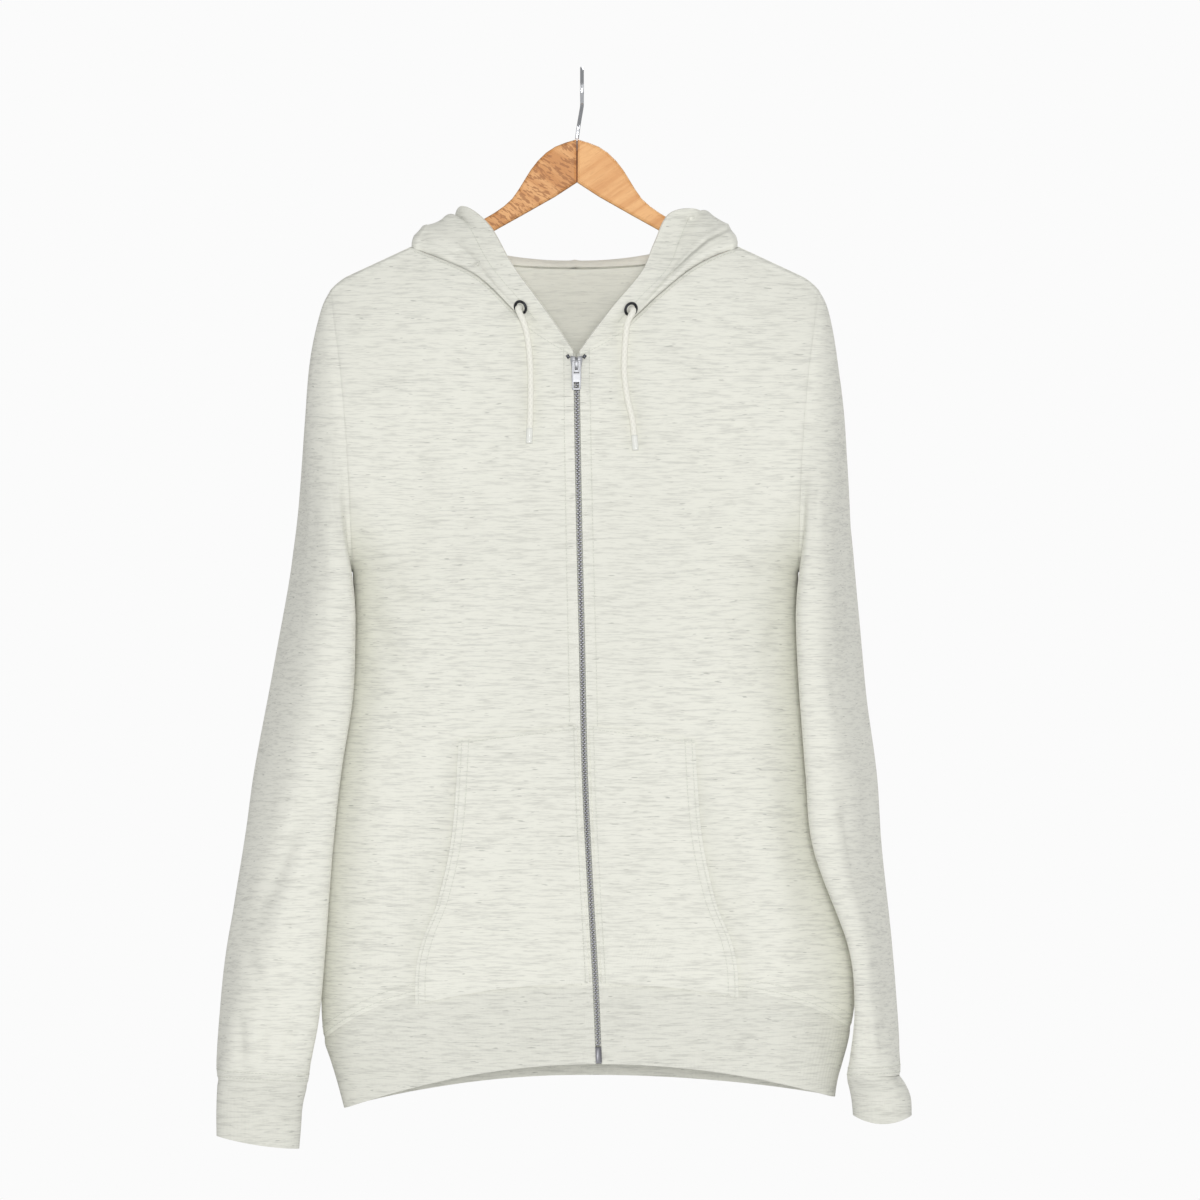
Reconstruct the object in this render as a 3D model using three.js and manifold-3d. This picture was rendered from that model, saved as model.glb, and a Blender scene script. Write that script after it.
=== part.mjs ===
import * as THREE from 'three';
import Module from 'manifold-3d';
import { mergeVertices } from 'three/addons/utils/BufferGeometryUtils.js';

// A zip up hoodie whose hood has fallen back, on a wooden hanger.
// Millimetres, +Z up, the front faces -Y, and the rail bears at the hook's inner crown, the origin.
// The garment is drawn about its own centre line, and the last group moves that line beside the crown.

const wasm = await Module();
wasm.setup();

// Cloth and seams
const fleece = 2.2;
const bandCloth = 2.8;
const seamGap = 0.3;
const tapeThickness = 0.9;

// Shoulders: one sloping line each side of the middle
const middle = -2;
const neckHalf = 141;
const neckTop = -152;
const shoulderSlope = 0.466;
const tipRoundFrom = 195;
const tipRound = 0.022;

// Depth of the body below the shoulder line
const topRadius = 10;
const frontDepth = 58;
const backDepth = 54;
const depthLength = 95;
const sideExponent = 2.6;
const hemDepthShare = 0.9;
const hemTaperFrom = -600;
const foldsFrom = 60;

// Armhole: its widest height and the underarm
const tipHeight = -188;
const armholeWide = -330;
const underarm = -432;

// Zip line and bottom seams
const zipTop = -243;
const chainHalf = 2.6;
const frontSeam = -786;
const backSeam = -799;
const frontHem = -853;
const backHem = -866;

// Shares across a panel from the zip to its side, and down it from the shoulder to the waistband
const across = [0, 0.09, 0.18, 0.27, 0.365, 0.46, 0.55, 0.64, 0.75, 0.85, 0.925, 0.975, 1];
const neckColumns = 7;
const down = [0, 0.005, 0.014, 0.03, 0.07, 0.13, 0.2, 0.27, 0.33, 0.355, 0.369, 0.377,
  0.43, 0.51, 0.6, 0.69, 0.78, 0.86, 0.93, 1];
const armholeRows = 11;
const underarmShare = down[armholeRows];

// Edge of the body seen from the front: armhole above the underarm, side seam below it
const edges = [
  { z: -180, left: -213, right: 209 },
  { z: -215, left: -209, right: 205 },
  { z: -260, left: -203, right: 199 },
  { z: -330, left: -197, right: 193 },
  { z: -400, left: -193.5, right: 190.5 },
  { z: -432, left: -193, right: 190.5 },
  { z: -465, left: -191.5, right: 189.5 },
  { z: -510, left: -193.5, right: 192 },
  { z: -560, left: -200.5, right: 196.5 },
  { z: -628, left: -210.5, right: 202 },
  { z: -665, left: -214.5, right: 207.5 },
  { z: -714, left: -217.5, right: 223 },
  { z: -763, left: -219.5, right: 238 },
  { z: -800, left: -220, right: 239 },
  { z: -834, left: -217.5, right: 233.5 },
  { z: -851, left: -212, right: 229 },
  { z: -869, left: -206.5, right: 224 },
  { z: -895, left: -199.5, right: 220.5 },
];

// Line of the zip, which wanders to one side towards the hem
const zipLine = [
  { z: -243, x: -0.5 },
  { z: -335, x: 0.9 },
  { z: -421, x: 2.6 },
  { z: -490, x: 4.3 },
  { z: -576, x: 6 },
  { z: -628, x: 7.7 },
  { z: -697, x: 11.2 },
  { z: -757, x: 14.6 },
  { z: -808, x: 17.2 },
  { z: -870, x: 19.5 },
];

// Neck seam on the fronts, from the zip to the shoulder
const neckSeam = {
  left: [
    { x: 3.4, z: -243 },
    { x: 27, z: -229 },
    { x: 49, z: -213 },
    { x: 75, z: -187 },
    { x: 90, z: -175 },
    { x: 113, z: -164 },
    { x: 143, z: -152 },
  ],
  right: [
    { x: 2.4, z: -243 },
    { x: 27, z: -230 },
    { x: 48, z: -215 },
    { x: 71, z: -193.5 },
    { x: 97, z: -172 },
    { x: 118, z: -160 },
    { x: 139, z: -152 },
  ],
};

// Rise of the hem and of the seam over it, from the side to the zip
const rise = {
  left: { frontSeam: 0.00098, frontHem: 0.00098, backSeam: 0.0007, backHem: 0.00065 },
  right: { frontSeam: 0.00066, frontHem: 0.0006, backSeam: 0.00042, backHem: 0.00033 },
};

// Soft folds of the body: where each starts and ends, its depth and half width
const frontFolds = [
  { x0: -120, z0: -230, x1: -165, z1: -520, depth: -4, half: 24 },
  { x0: -60, z0: -300, x1: -95, z1: -540, depth: 3, half: 30 },
  { x0: -165, z0: -560, x1: -175, z1: -800, depth: 5, half: 22 },
  { x0: 115, z0: -230, x1: 160, z1: -500, depth: -4, half: 24 },
  { x0: 70, z0: -320, x1: 100, z1: -560, depth: 3, half: 30 },
  { x0: 160, z0: -580, x1: 185, z1: -800, depth: 5, half: 22 },
];
const backFolds = [
  { x0: -100, z0: -480, x1: -130, z1: -790, depth: 6, half: 28 },
  { x0: 0, z0: -500, x1: 10, z1: -790, depth: -4, half: 34 },
  { x0: 105, z0: -480, x1: 140, z1: -790, depth: 6, half: 28 },
  { x0: -150, z0: -260, x1: -165, z1: -460, depth: -4, half: 20 },
  { x0: 148, z0: -260, x1: 162, z1: -460, depth: -4, half: 20 },
];

// Sleeve rings from the armhole down: outer and inner point seen from the front, middle, half depth,
// how far the front of the ring leans in over the body, roundness, and how far it has left the armhole's shape
const sleeves = {
  left: [
    { outX: -211, outZ: -188, inX: -193, inZ: -432, y: 0, deep: 57, lean: 0, round: 2, own: 0 },
    { outX: -219, outZ: -205, inX: -197.5, inZ: -430.5, y: 0, deep: 60, lean: 0, round: 2, own: 0.12 },
    { outX: -228, outZ: -243, inX: -199.5, inZ: -433.5, y: 0, deep: 63, lean: 2, round: 2.1, own: 0.3 },
    { outX: -234, outZ: -292, inX: -198.5, inZ: -440, y: 0, deep: 66, lean: 5, round: 2.2, own: 0.5 },
    { outX: -239, outZ: -350, inX: -194.8, inZ: -449, y: -1, deep: 68, lean: 10, round: 2.3, own: 0.75 },
    { outX: -245, outZ: -410, inX: -191.5, inZ: -460, y: -2, deep: 68, lean: 14, round: 2.4, own: 1 },
    { outX: -253, outZ: -464, inX: -189.7, inZ: -480, y: -3, deep: 65, lean: 17, round: 2.4, own: 1 },
    { outX: -266, outZ: -536, inX: -192.3, inZ: -540, y: -5, deep: 58, lean: 19, round: 2.4, own: 1 },
    { outX: -279, outZ: -606, inX: -202.8, inZ: -606, y: -8, deep: 52, lean: 19, round: 2.4, own: 1 },
    { outX: -288, outZ: -670, inX: -209.8, inZ: -670, y: -11, deep: 47, lean: 18, round: 2.4, own: 1 },
    { outX: -301, outZ: -750, inX: -215.5, inZ: -750, y: -13, deep: 43, lean: 16, round: 2.4, own: 1 },
    { outX: -307.5, outZ: -810, inX: -220.3, inZ: -810, y: -14, deep: 40, lean: 12, round: 2.4, own: 1 },
    { outX: -309.5, outZ: -850, inX: -226.5, inZ: -848, y: -14, deep: 36, lean: 7, round: 2.3, own: 1 },
    { outX: -309, outZ: -868, inX: -231, inZ: -872, y: -14, deep: 27, lean: 3, round: 2.2, own: 1 },
  ],
  right: [
    { outX: 207, outZ: -188, inX: 190.5, inZ: -432, y: 0, deep: 57, lean: 0, round: 2, own: 0 },
    { outX: 215, outZ: -205, inX: 195, inZ: -430.5, y: 0, deep: 60, lean: 0, round: 2, own: 0.12 },
    { outX: 223, outZ: -243, inX: 197, inZ: -433.5, y: 0, deep: 63, lean: 2, round: 2.1, own: 0.3 },
    { outX: 229.5, outZ: -292, inX: 196, inZ: -440, y: 0, deep: 66, lean: 5, round: 2.2, own: 0.5 },
    { outX: 234, outZ: -350, inX: 193, inZ: -449, y: -1, deep: 68, lean: 9, round: 2.3, own: 0.75 },
    { outX: 238.5, outZ: -410, inX: 189.8, inZ: -460, y: -2, deep: 68, lean: 13, round: 2.4, own: 1 },
    { outX: 243, outZ: -464, inX: 188.1, inZ: -480, y: -3, deep: 66, lean: 15, round: 2.4, own: 1 },
    { outX: 249.5, outZ: -536, inX: 190.8, inZ: -540, y: -6, deep: 61, lean: 16, round: 2.4, own: 1 },
    { outX: 258.5, outZ: -606, inX: 196.3, inZ: -606, y: -10, deep: 57, lean: 17, round: 2.4, own: 1 },
    { outX: 263, outZ: -670, inX: 203.3, inZ: -670, y: -14, deep: 54, lean: 17, round: 2.4, own: 1 },
    { outX: 272, outZ: -750, inX: 231.9, inZ: -750, y: -17, deep: 52, lean: 12, round: 2.3, own: 1 },
    { outX: 276.5, outZ: -805, inX: 236.9, inZ: -805, y: -18, deep: 49, lean: 11, round: 2.3, own: 1 },
    { outX: 278.5, outZ: -845, inX: 234, inZ: -845, y: -18, deep: 42, lean: 8, round: 2.3, own: 1 },
    { outX: 278, outZ: -864, inX: 231, inZ: -866, y: -18, deep: 33, lean: 4, round: 2.2, own: 1 },
  ],
};

const cuffs = {
  left: [
    { outX: -309.5, outZ: -884, inX: -235.5, inZ: -890, y: -14, deep: 22, lean: 0, round: 2.2 },
    { outX: -309.8, outZ: -900, inX: -237, inZ: -909, y: -14, deep: 20, lean: 0, round: 2.2 },
    { outX: -309.6, outZ: -916, inX: -238.5, inZ: -927, y: -14, deep: 19, lean: 0, round: 2.2 },
  ],
  right: [
    { outX: 284, outZ: -875, inX: 234.5, inZ: -878, y: -18, deep: 28, lean: 0, round: 2.2 },
    { outX: 287, outZ: -885, inX: 236, inZ: -887, y: -18, deep: 26, lean: 0, round: 2.2 },
    { outX: 287.5, outZ: -898, inX: 237, inZ: -898, y: -18, deep: 25, lean: 0, round: 2.2 },
  ],
};
const cuffSag = { left: 2, right: 7 };

// Each sleeve is one cut piece, made here in two or three lengths of its rings
const sleeveLengths = {
  left: [
    { name: 'upper', from: 0, to: 4 },
    { name: 'elbow', from: 4, to: 9 },
    { name: 'lower', from: 9, to: 13 },
  ],
  right: [
    { name: 'upper', from: 0, to: 7 },
    { name: 'lower', from: 7, to: 13 },
  ],
};

// Hood halves: the rim from the front neck to the forehead seam, then the seams in the middle plane
const hoodRim = {
  left: [
    { x: -30, y: -57, z: -204 },
    { x: -56, y: -43, z: -168 },
    { x: -76, y: -27, z: -134 },
    { x: -98, y: -2, z: -117 },
    { x: -105, y: 26, z: -127 },
    { x: -94, y: 55, z: -158 },
    { x: -64, y: 80, z: -196 },
    { x: -30, y: 95, z: -219 },
  ],
  right: [
    { x: 30, y: -57, z: -206 },
    { x: 56, y: -43, z: -174 },
    { x: 67, y: -28, z: -149 },
    { x: 80, y: -16, z: -124 },
    { x: 103, y: 0, z: -119.5 },
    { x: 113, y: 28, z: -132 },
    { x: 100, y: 55, z: -160 },
    { x: 66, y: 80, z: -198 },
    { x: 28, y: 95, z: -219 },
  ],
};
const hoodBackSeam = [
  { y: 42.5, z: -167 },
  { y: 46.5, z: -165 },
  { y: 51, z: -168.5 },
  { y: 56, z: -186 },
  { y: 64, z: -230 },
  { y: 71, z: -300 },
  { y: 76, z: -380 },
  { y: 81, z: -435 },
];
const hoodCrown = { y: 90, z: -452 };
const hoodTopSeam = [
  { y: 107, z: -300 },
  { y: 108, z: -380 },
  { y: 102, z: -432 },
];
const hoodForehead = { y: 100, z: -226 };
const hoodBulge = { size: 330, fullness: 0.35 };
const hoodStand = { height: 18, lean: 7, from: 0.16, span: 0.8, steep: 2.2 };
const hoodPeaks = {
  left: [
    { height: 17, along: 0.26, alongReach: 0.26, up: 0.38, upReach: 0.24 },
    { height: 9, along: 0.43, alongReach: 0.22, up: 0.28, upReach: 0.22 },
  ],
  right: [
    { height: 14, along: 0.25, alongReach: 0.25, up: 0.38, upReach: 0.24 },
    { height: 16, along: 0.4, alongReach: 0.26, up: 0.32, upReach: 0.26 },
  ],
};
const hoodRows = [0, 0.015, 0.03, 0.055, 0.1, 0.17, 0.27, 0.38, 0.5, 0.62, 0.74, 0.87, 1];

// Pocket halves: top edge, and the slanted edge where the hand goes in
const pocketTop = { atZip: -563, atSide: -575 };
const pocketInset = 5.5;
const pocketLift = 2;
const pocketEdge = [
  { z: -560, x: 100 },
  { z: -654, x: 106 },
  { z: -714, x: 118 },
  { z: -748, x: 131 },
  { z: -775, x: 137 },
  { z: -815, x: 138 },
];
const pocketCloth = 2;
const pocketBulge = 9;
const pocketColumns = 6;
const pocketRows = 7;

// Eyelets and drawcord
const eyelet = { outer: 6.2, hole: 4.2, rise: 1.1, left: { x: -48, z: -205 }, right: { x: 46, z: -206.5 } };
const cordRadius = 2.65;
const cordSides = 8;
const cordSteps = 28;
const cordTipLength = 13;

// Hanger and hook
const hangerThickness = 12;
const hangerBevel = 2.5;
const hangerBelow = 6.6;
const hangerTop = [
  { x: 0, z: -60.2 },
  { x: 14, z: -64 },
  { x: 26, z: -71.5 },
  { x: 36, z: -82.5 },
  { x: 44, z: -95 },
  { x: 53, z: -109 },
  { x: 65, z: -119.5 },
  { x: 79, z: -128 },
  { x: 100, z: -140.5 },
  { x: 120, z: -152 },
];
const hangerBottom = [
  { x: 182, z: -188 },
  { x: 143, z: -171 },
  { x: 100, z: -152 },
  { x: 72, z: -138.5 },
  { x: 0, z: -98 },
];
const wireRadius = 1.6;
const hookInner = 19;
const hookLean = 4.3;

// Materials
const cloth = { color: 0xe5e6dd, roughness: 0.95, metalness: 0 };
const rib = { color: 0xdfe0d7, roughness: 0.95, metalness: 0 };
const cordColour = { color: 0xe9e8e0, roughness: 0.8, metalness: 0 };
const tipColour = { color: 0xd9dad4, roughness: 0.35, metalness: 0 };
const steel = { color: 0xb9bcc0, roughness: 0.3, metalness: 1 };
const gunmetal = { color: 0x54565a, roughness: 0.35, metalness: 1 };
const chrome = { color: 0xc8cacd, roughness: 0.15, metalness: 1 };
const darkWood = { color: 0xb98045, roughness: 0.5, metalness: 0 };
const lightWood = { color: 0xd79f5c, roughness: 0.5, metalness: 0 };

const lerp = (a, b, t) => a + (b - a) * t;
const clamp = (x, low, high) => Math.min(high, Math.max(low, x));
const sideSign = { left: -1, right: 1 };

// A smooth curve through values at rising knots
function through(knots, values, at) {
  let i = 0;
  while (i < knots.length - 2 && at > knots[i + 1]) i += 1;
  const slope = (k) => {
    const a = Math.max(0, k - 1);
    const b = Math.min(knots.length - 1, k + 1);
    return (values[b] - values[a]) / (knots[b] - knots[a]);
  };
  const span = knots[i + 1] - knots[i];
  const t = clamp((at - knots[i]) / span, 0, 1);
  const t2 = t * t;
  const t3 = t2 * t;
  return (2 * t3 - 3 * t2 + 1) * values[i] + (t3 - 2 * t2 + t) * span * slope(i)
    + (3 * t2 - 2 * t3) * values[i + 1] + (t3 - t2) * span * slope(i + 1);
}

function lookUp(table, by, column, at) {
  const rows = [...table].sort((a, b) => a[by] - b[by]);
  return through(rows.map((row) => row[by]), rows.map((row) => row[column]), at);
}

// A smooth line through points, by its share of the way along the straight stretches
function alongPoints(points, share) {
  const knots = [0];
  for (let i = 1; i < points.length; i += 1) knots.push(knots[i - 1] + points[i].distanceTo(points[i - 1]));
  const at = share * knots[knots.length - 1];
  const axis = (name) => through(knots, points.map((point) => point[name]), at);
  return new THREE.Vector3(axis('x'), axis('y'), axis('z'));
}

function shoulderHeight(x) {
  const away = Math.abs(x - middle);
  const round = tipRound * Math.max(0, away - tipRoundFrom) ** 2;
  return neckTop - shoulderSlope * (away - neckHalf) - round;
}

function edgeAt(z, side) {
  return lookUp(edges, 'z', side, z);
}

function zipAt(z) {
  return lookUp(zipLine, 'z', 'x', z);
}

// How far the sides close in: open at the armhole's widest height, closed from the underarm down
function sideClosing(z) {
  const low = clamp((armholeWide - z) / (armholeWide - underarm), 0, 1);
  return 1 - (1 - low * low) ** (sideExponent / 2);
}

function foldsAt(folds, x, z) {
  let sum = 0;
  for (const fold of folds) {
    const t = (z - fold.z0) / (fold.z1 - fold.z0);
    if (t > 0 && t < 1) {
      const off = (x - lerp(fold.x0, fold.x1, t)) / fold.half;
      sum += fold.depth * Math.sin(Math.PI * t) ** 1.5 * Math.exp(-off * off * 2);
    }
  }
  return sum;
}

// Distance of the body's outside from the hanger's plane
function bodyDepth(x, z, isFront) {
  const drop = Math.max(0, shoulderHeight(x) - z);
  const near = Math.min(drop, topRadius) / topRadius;
  const round = topRadius * (1 - (1 - near) ** 3) ** (1 / 3);
  const full = isFront ? frontDepth : backDepth;
  const open = full * (1 - Math.exp(-Math.max(0, drop - topRadius * 0.6) / depthLength));
  const towardsHem = clamp((z - hemTaperFrom) / (frontHem - hemTaperFrom), 0, 1);
  const left = edgeAt(z, 'left');
  const right = edgeAt(z, 'right');
  const off = clamp(Math.abs(2 * x - left - right) / (right - left), 0, 1);
  const sides = (1 - sideClosing(z) * off ** sideExponent) ** (1 / sideExponent);
  const folds = foldsAt(isFront ? frontFolds : backFolds, x, z) * (1 - off ** 6) * clamp(drop / foldsFrom, 0, 1);
  return (round + open) * lerp(1, hemDepthShare, towardsHem) * sides + folds;
}

function bodyPoint(x, z, isFront) {
  return new THREE.Vector3(x, (isFront ? -1 : 1) * bodyDepth(x, z, isFront), z);
}

// Outside of a front at a height over the cloth
function overFront(x, z, height) {
  const step = 2;
  const alongX = bodyPoint(x + step, z, true).sub(bodyPoint(x - step, z, true));
  const alongZ = bodyPoint(x, z + step, true).sub(bodyPoint(x, z - step, true));
  const normal = alongX.cross(alongZ).normalize();
  if (normal.y > 0) normal.negate();
  return bodyPoint(x, z, true).addScaledVector(normal, height);
}

// The four edges of a half panel, seen from the front
function panelEdges(side, isFront) {
  const sign = sideSign[side];
  const bend = rise[side];
  const neckShare = across[neckColumns];
  const neckPoint = middle + sign * neckHalf;
  const tip = edgeAt(tipHeight, side);
  const seamHeight = isFront ? frontSeam : backSeam;
  const seamRise = isFront ? bend.frontSeam : bend.backSeam;
  const centre = (z) => (isFront ? zipAt(z) + sign * (chainHalf + seamGap) : middle + (zipAt(z) + 0.5) * 0.5);
  const sideX = edgeAt(frontSeam - 46 * bend.frontSeam / rise.left.frontSeam, side);
  const sideZ = frontSeam - bend.frontSeam * sideX * sideX;
  const startX = isFront ? centre(zipTop) : middle;
  const top = (s) => {
    if (s <= neckShare) {
      const x = lerp(startX, neckPoint, s / neckShare);
      const z = isFront ? lookUp(neckSeam[side], 'x', 'z', sign * x)
        : neckTop - 18 * (1 - (Math.abs(x - middle) / neckHalf) ** 2.2);
      return [x, z];
    }
    const x = lerp(neckPoint, tip, (s - neckShare) / (1 - neckShare));
    return [x, shoulderHeight(x)];
  };
  const centreBottom = centre(seamHeight);
  const bottom = (s) => {
    const x = lerp(centreBottom, sideX, s);
    const middleX = isFront ? centreBottom : middle;
    const rest = sideZ - seamHeight;
    const share = ((x - middleX) / (sideX - middleX)) ** 2;
    return [x, isFront ? seamHeight - seamRise * x * x * share : seamHeight + rest * share];
  };
  const inner = (t) => {
    const z = lerp(top(0)[1], bottom(0)[1], t);
    return [centre(z), z];
  };
  const outer = (t) => {
    const z = t <= underarmShare
      ? lerp(top(1)[1], underarm, t / underarmShare)
      : lerp(underarm, bottom(1)[1], (t - underarmShare) / (1 - underarmShare));
    return [t === 0 ? tip : edgeAt(z, side), z];
  };
  return { top, bottom, inner, outer };
}

// A point of a half panel from its shares across and down, blended from the four edges
function panelPlace(edge, s, t) {
  const corner = [edge.top(0), edge.top(1), edge.bottom(0), edge.bottom(1)];
  return [0, 1].map((axis) => lerp(edge.top(s)[axis], edge.bottom(s)[axis], t)
    + lerp(edge.inner(t)[axis], edge.outer(t)[axis], s)
    - lerp(lerp(corner[0][axis], corner[1][axis], s), lerp(corner[2][axis], corner[3][axis], s), t));
}

function halfPanel(side, isFront) {
  const edge = panelEdges(side, isFront);
  return across.map((s) => down.map((t) => {
    const [x, z] = panelPlace(edge, s, t);
    const onShoulder = t === 0 && s > across[neckColumns] - 1e-9;
    const onSide = s === 1 && t >= underarmShare;
    const point = bodyPoint(x, z, isFront);
    if (onShoulder || onSide) point.y = 0;
    return point;
  }));
}

// The waistband under one half panel: columns from the centre to the side, rows from the seam to the hem
function halfBand(side, isFront, panel) {
  const bend = rise[side];
  const rows = [0, 0.25, 0.6, 1];
  const last = down.length - 1;
  const hem = isFront ? frontHem : backHem;
  const sideX = edgeAt(frontHem - 38 * bend.frontHem / rise.left.frontHem, side);
  const sideZ = frontHem - bend.frontHem * sideX * sideX;
  const startX = isFront ? zipAt(hem) + sideSign[side] * (chainHalf + seamGap) : middle + 10;
  return across.map((s, i) => rows.map((v) => {
    const from = panel[i][last];
    const sideFrom = panel[across.length - 1][last];
    const hemX = lerp(startX, sideX, s);
    const hemZ = hem + (sideZ - hem) * s * s;
    const z = lerp(from.z, hemZ, v);
    const zAtSide = lerp(sideFrom.z, sideZ, v);
    const bulge = edgeAt(zAtSide, side) - lerp(sideFrom.x, sideX, v);
    const x = lerp(from.x, hemX, v) + bulge * s * s;
    if (v === 0) return from.clone();
    const point = bodyPoint(x, z, isFront);
    if (s === 1) point.set(edgeAt(zAtSide, side), 0, zAtSide);
    return point;
  }));
}

// Sleeve: the armhole loop first, then rings that turn about the underarm and run down to the cuff
function armholeLoop(front, back) {
  const last = across.length - 1;
  const loop = [];
  for (let j = 0; j <= armholeRows; j += 1) loop.push(front[last][j].clone());
  for (let j = armholeRows - 1; j > 0; j -= 1) loop.push(back[last][j].clone());
  return loop;
}

// A leaning ring is drawn narrower, so that its outline from the front stays at its two points
function ringPoint(ring, along, deep) {
  const halfX = (ring.outX - ring.inX) / 2;
  const power = ring.round / (ring.round - 1);
  const narrow = (Math.abs(halfX) ** power - ring.lean ** power) ** (1 / power) / Math.abs(halfX);
  return new THREE.Vector3(
    (ring.outX + ring.inX) / 2 + along * halfX * narrow + Math.sign(halfX) * deep * ring.lean,
    ring.y + deep * ring.deep,
    (ring.outZ + ring.inZ) / 2 + along * (ring.outZ - ring.inZ) / 2,
  );
}

function ovalShare(count, k, round) {
  const angle = 2 * Math.PI * k / count;
  const power = (value) => Math.sign(value) * Math.abs(value) ** (2 / round);
  return [power(Math.cos(angle)), -power(Math.sin(angle))];
}

function sleeveGrid(side, front, back) {
  const rings = sleeves[side];
  const loop = armholeLoop(front, back);
  const first = rings[0];
  const alongX = (first.outX - first.inX) / 2;
  const alongZ = (first.outZ - first.inZ) / 2;
  const length2 = alongX * alongX + alongZ * alongZ;
  return loop.map((start, k) => rings.map((ring, j) => {
    if (j === 0) return start.clone();
    const offX = start.x - (first.outX + first.inX) / 2;
    const offZ = start.z - (first.outZ + first.inZ) / 2;
    const along0 = (offX * alongX + offZ * alongZ) / length2;
    const deep0 = (start.y - first.y) / first.deep;
    const rest = start.clone().sub(ringPoint(first, along0, deep0));
    const [along1, deep1] = ovalShare(loop.length, k, ring.round);
    const point = ringPoint(ring, lerp(along0, along1, ring.own), lerp(deep0, deep1, ring.own));
    return point.addScaledVector(rest, 1 - ring.own);
  }));
}

function cuffGrid(side, sleeve) {
  const lastRing = sleeves[side].length - 1;
  return sleeve.map((line, k) => {
    const points = cuffs[side].map((ring, j) => {
      const [along, deep] = ovalShare(sleeve.length, k, ring.round);
      const point = ringPoint(ring, along, deep);
      const isHem = j === cuffs[side].length - 1;
      if (isHem) point.z -= cuffSag[side] * (1 - along * along) * (deep < 0 ? 1 : 0.4);
      return point;
    });
    return [line[lastRing].clone(), ...points];
  });
}

// A soft hump: one at its centre and nothing beyond its reach
function hump(value, centre, reach) {
  return Math.cos(Math.PI / 2 * clamp(Math.abs(value - centre) / reach, 0, 1)) ** 2;
}

// Hood half: a patch between the neck seam, the back seam, the top seam and the rim
function hoodGrid(side, front, back) {
  const sign = sideSign[side];
  const neck = [];
  for (let i = 0; i <= neckColumns; i += 1) neck.push(front[i][0].clone());
  for (let i = neckColumns - 1; i >= 0; i -= 1) neck.push(back[i][0].clone());
  const inPlane = (row) => new THREE.Vector3(middle, row.y, row.z);
  const crown = inPlane(hoodCrown);
  const forehead = inPlane(hoodForehead);
  const frontNeck = neck[0];
  const backNeck = neck[neck.length - 1];
  const rim = [frontNeck, ...hoodRim[side].map((row) => new THREE.Vector3(row.x, row.y, row.z)), forehead];
  const backLine = [backNeck, ...hoodBackSeam.map(inPlane), crown];
  const topLine = [forehead, ...hoodTopSeam.map(inPlane), crown];
  const count = neck.length - 1;
  return neck.map((onNeck, i) => hoodRows.map((v) => {
    const u = i / count;
    const onTop = alongPoints(topLine, u);
    const onRim = alongPoints(rim, v);
    const onBack = alongPoints(backLine, v);
    const point = new THREE.Vector3();
    point.addScaledVector(onNeck, 1 - v).addScaledVector(onTop, v);
    point.addScaledVector(onRim, 1 - u).addScaledVector(onBack, u);
    point.addScaledVector(frontNeck, -(1 - u) * (1 - v)).addScaledVector(forehead, -(1 - u) * v);
    point.addScaledVector(backNeck, -u * (1 - v)).addScaledVector(crown, -u * v);
    point.x += sign * hoodBulge.size * ((1 - u) * (1 - v)) ** hoodBulge.fullness * (u * v) ** 2;
    const standAlong = Math.sin(Math.PI * clamp((u - hoodStand.from) / hoodStand.span, 0, 1)) ** 2;
    const stand = standAlong * Math.sin(Math.PI * Math.min(1, v * hoodStand.steep));
    point.x -= sign * hoodStand.lean * stand;
    point.z += hoodStand.height * stand;
    for (const peak of hoodPeaks[side]) {
      point.z += peak.height * hump(u, peak.along, peak.alongReach) * hump(v, peak.up, peak.upReach);
    }
    return point;
  }));
}

// Sewn pieces share the points of their seams; here each gets a normal that both sides agree on
function gridNormals(grid, closed, outward) {
  const columns = grid.length;
  const rows = grid[0].length;
  return grid.map((line, i) => line.map((point, j) => {
    const before = closed ? (i + columns - 1) % columns : Math.max(0, i - 1);
    const after = closed ? (i + 1) % columns : Math.min(columns - 1, i + 1);
    const alongI = grid[after][j].clone().sub(grid[before][j]);
    const alongJ = grid[i][Math.min(rows - 1, j + 1)].clone().sub(grid[i][Math.max(0, j - 1)]);
    return alongI.cross(alongJ).multiplyScalar(outward).normalize();
  }));
}

const seamKey = (point) => [point.x, point.y, point.z].map((value) => Math.round(value * 200)).join(' ');

function agreeNormals(pieces) {
  const shared = new Map();
  for (const piece of pieces) {
    piece.grid.forEach((line, i) => line.forEach((point, j) => {
      const key = seamKey(point);
      if (!shared.has(key)) shared.set(key, new THREE.Vector3());
      shared.get(key).add(piece.normals[i][j]);
    }));
  }
  for (const piece of pieces) {
    piece.own = piece.normals;
    piece.normals = piece.grid.map((line) => line.map((point) => shared.get(seamKey(point)).clone().normalize()));
  }
}

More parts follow.
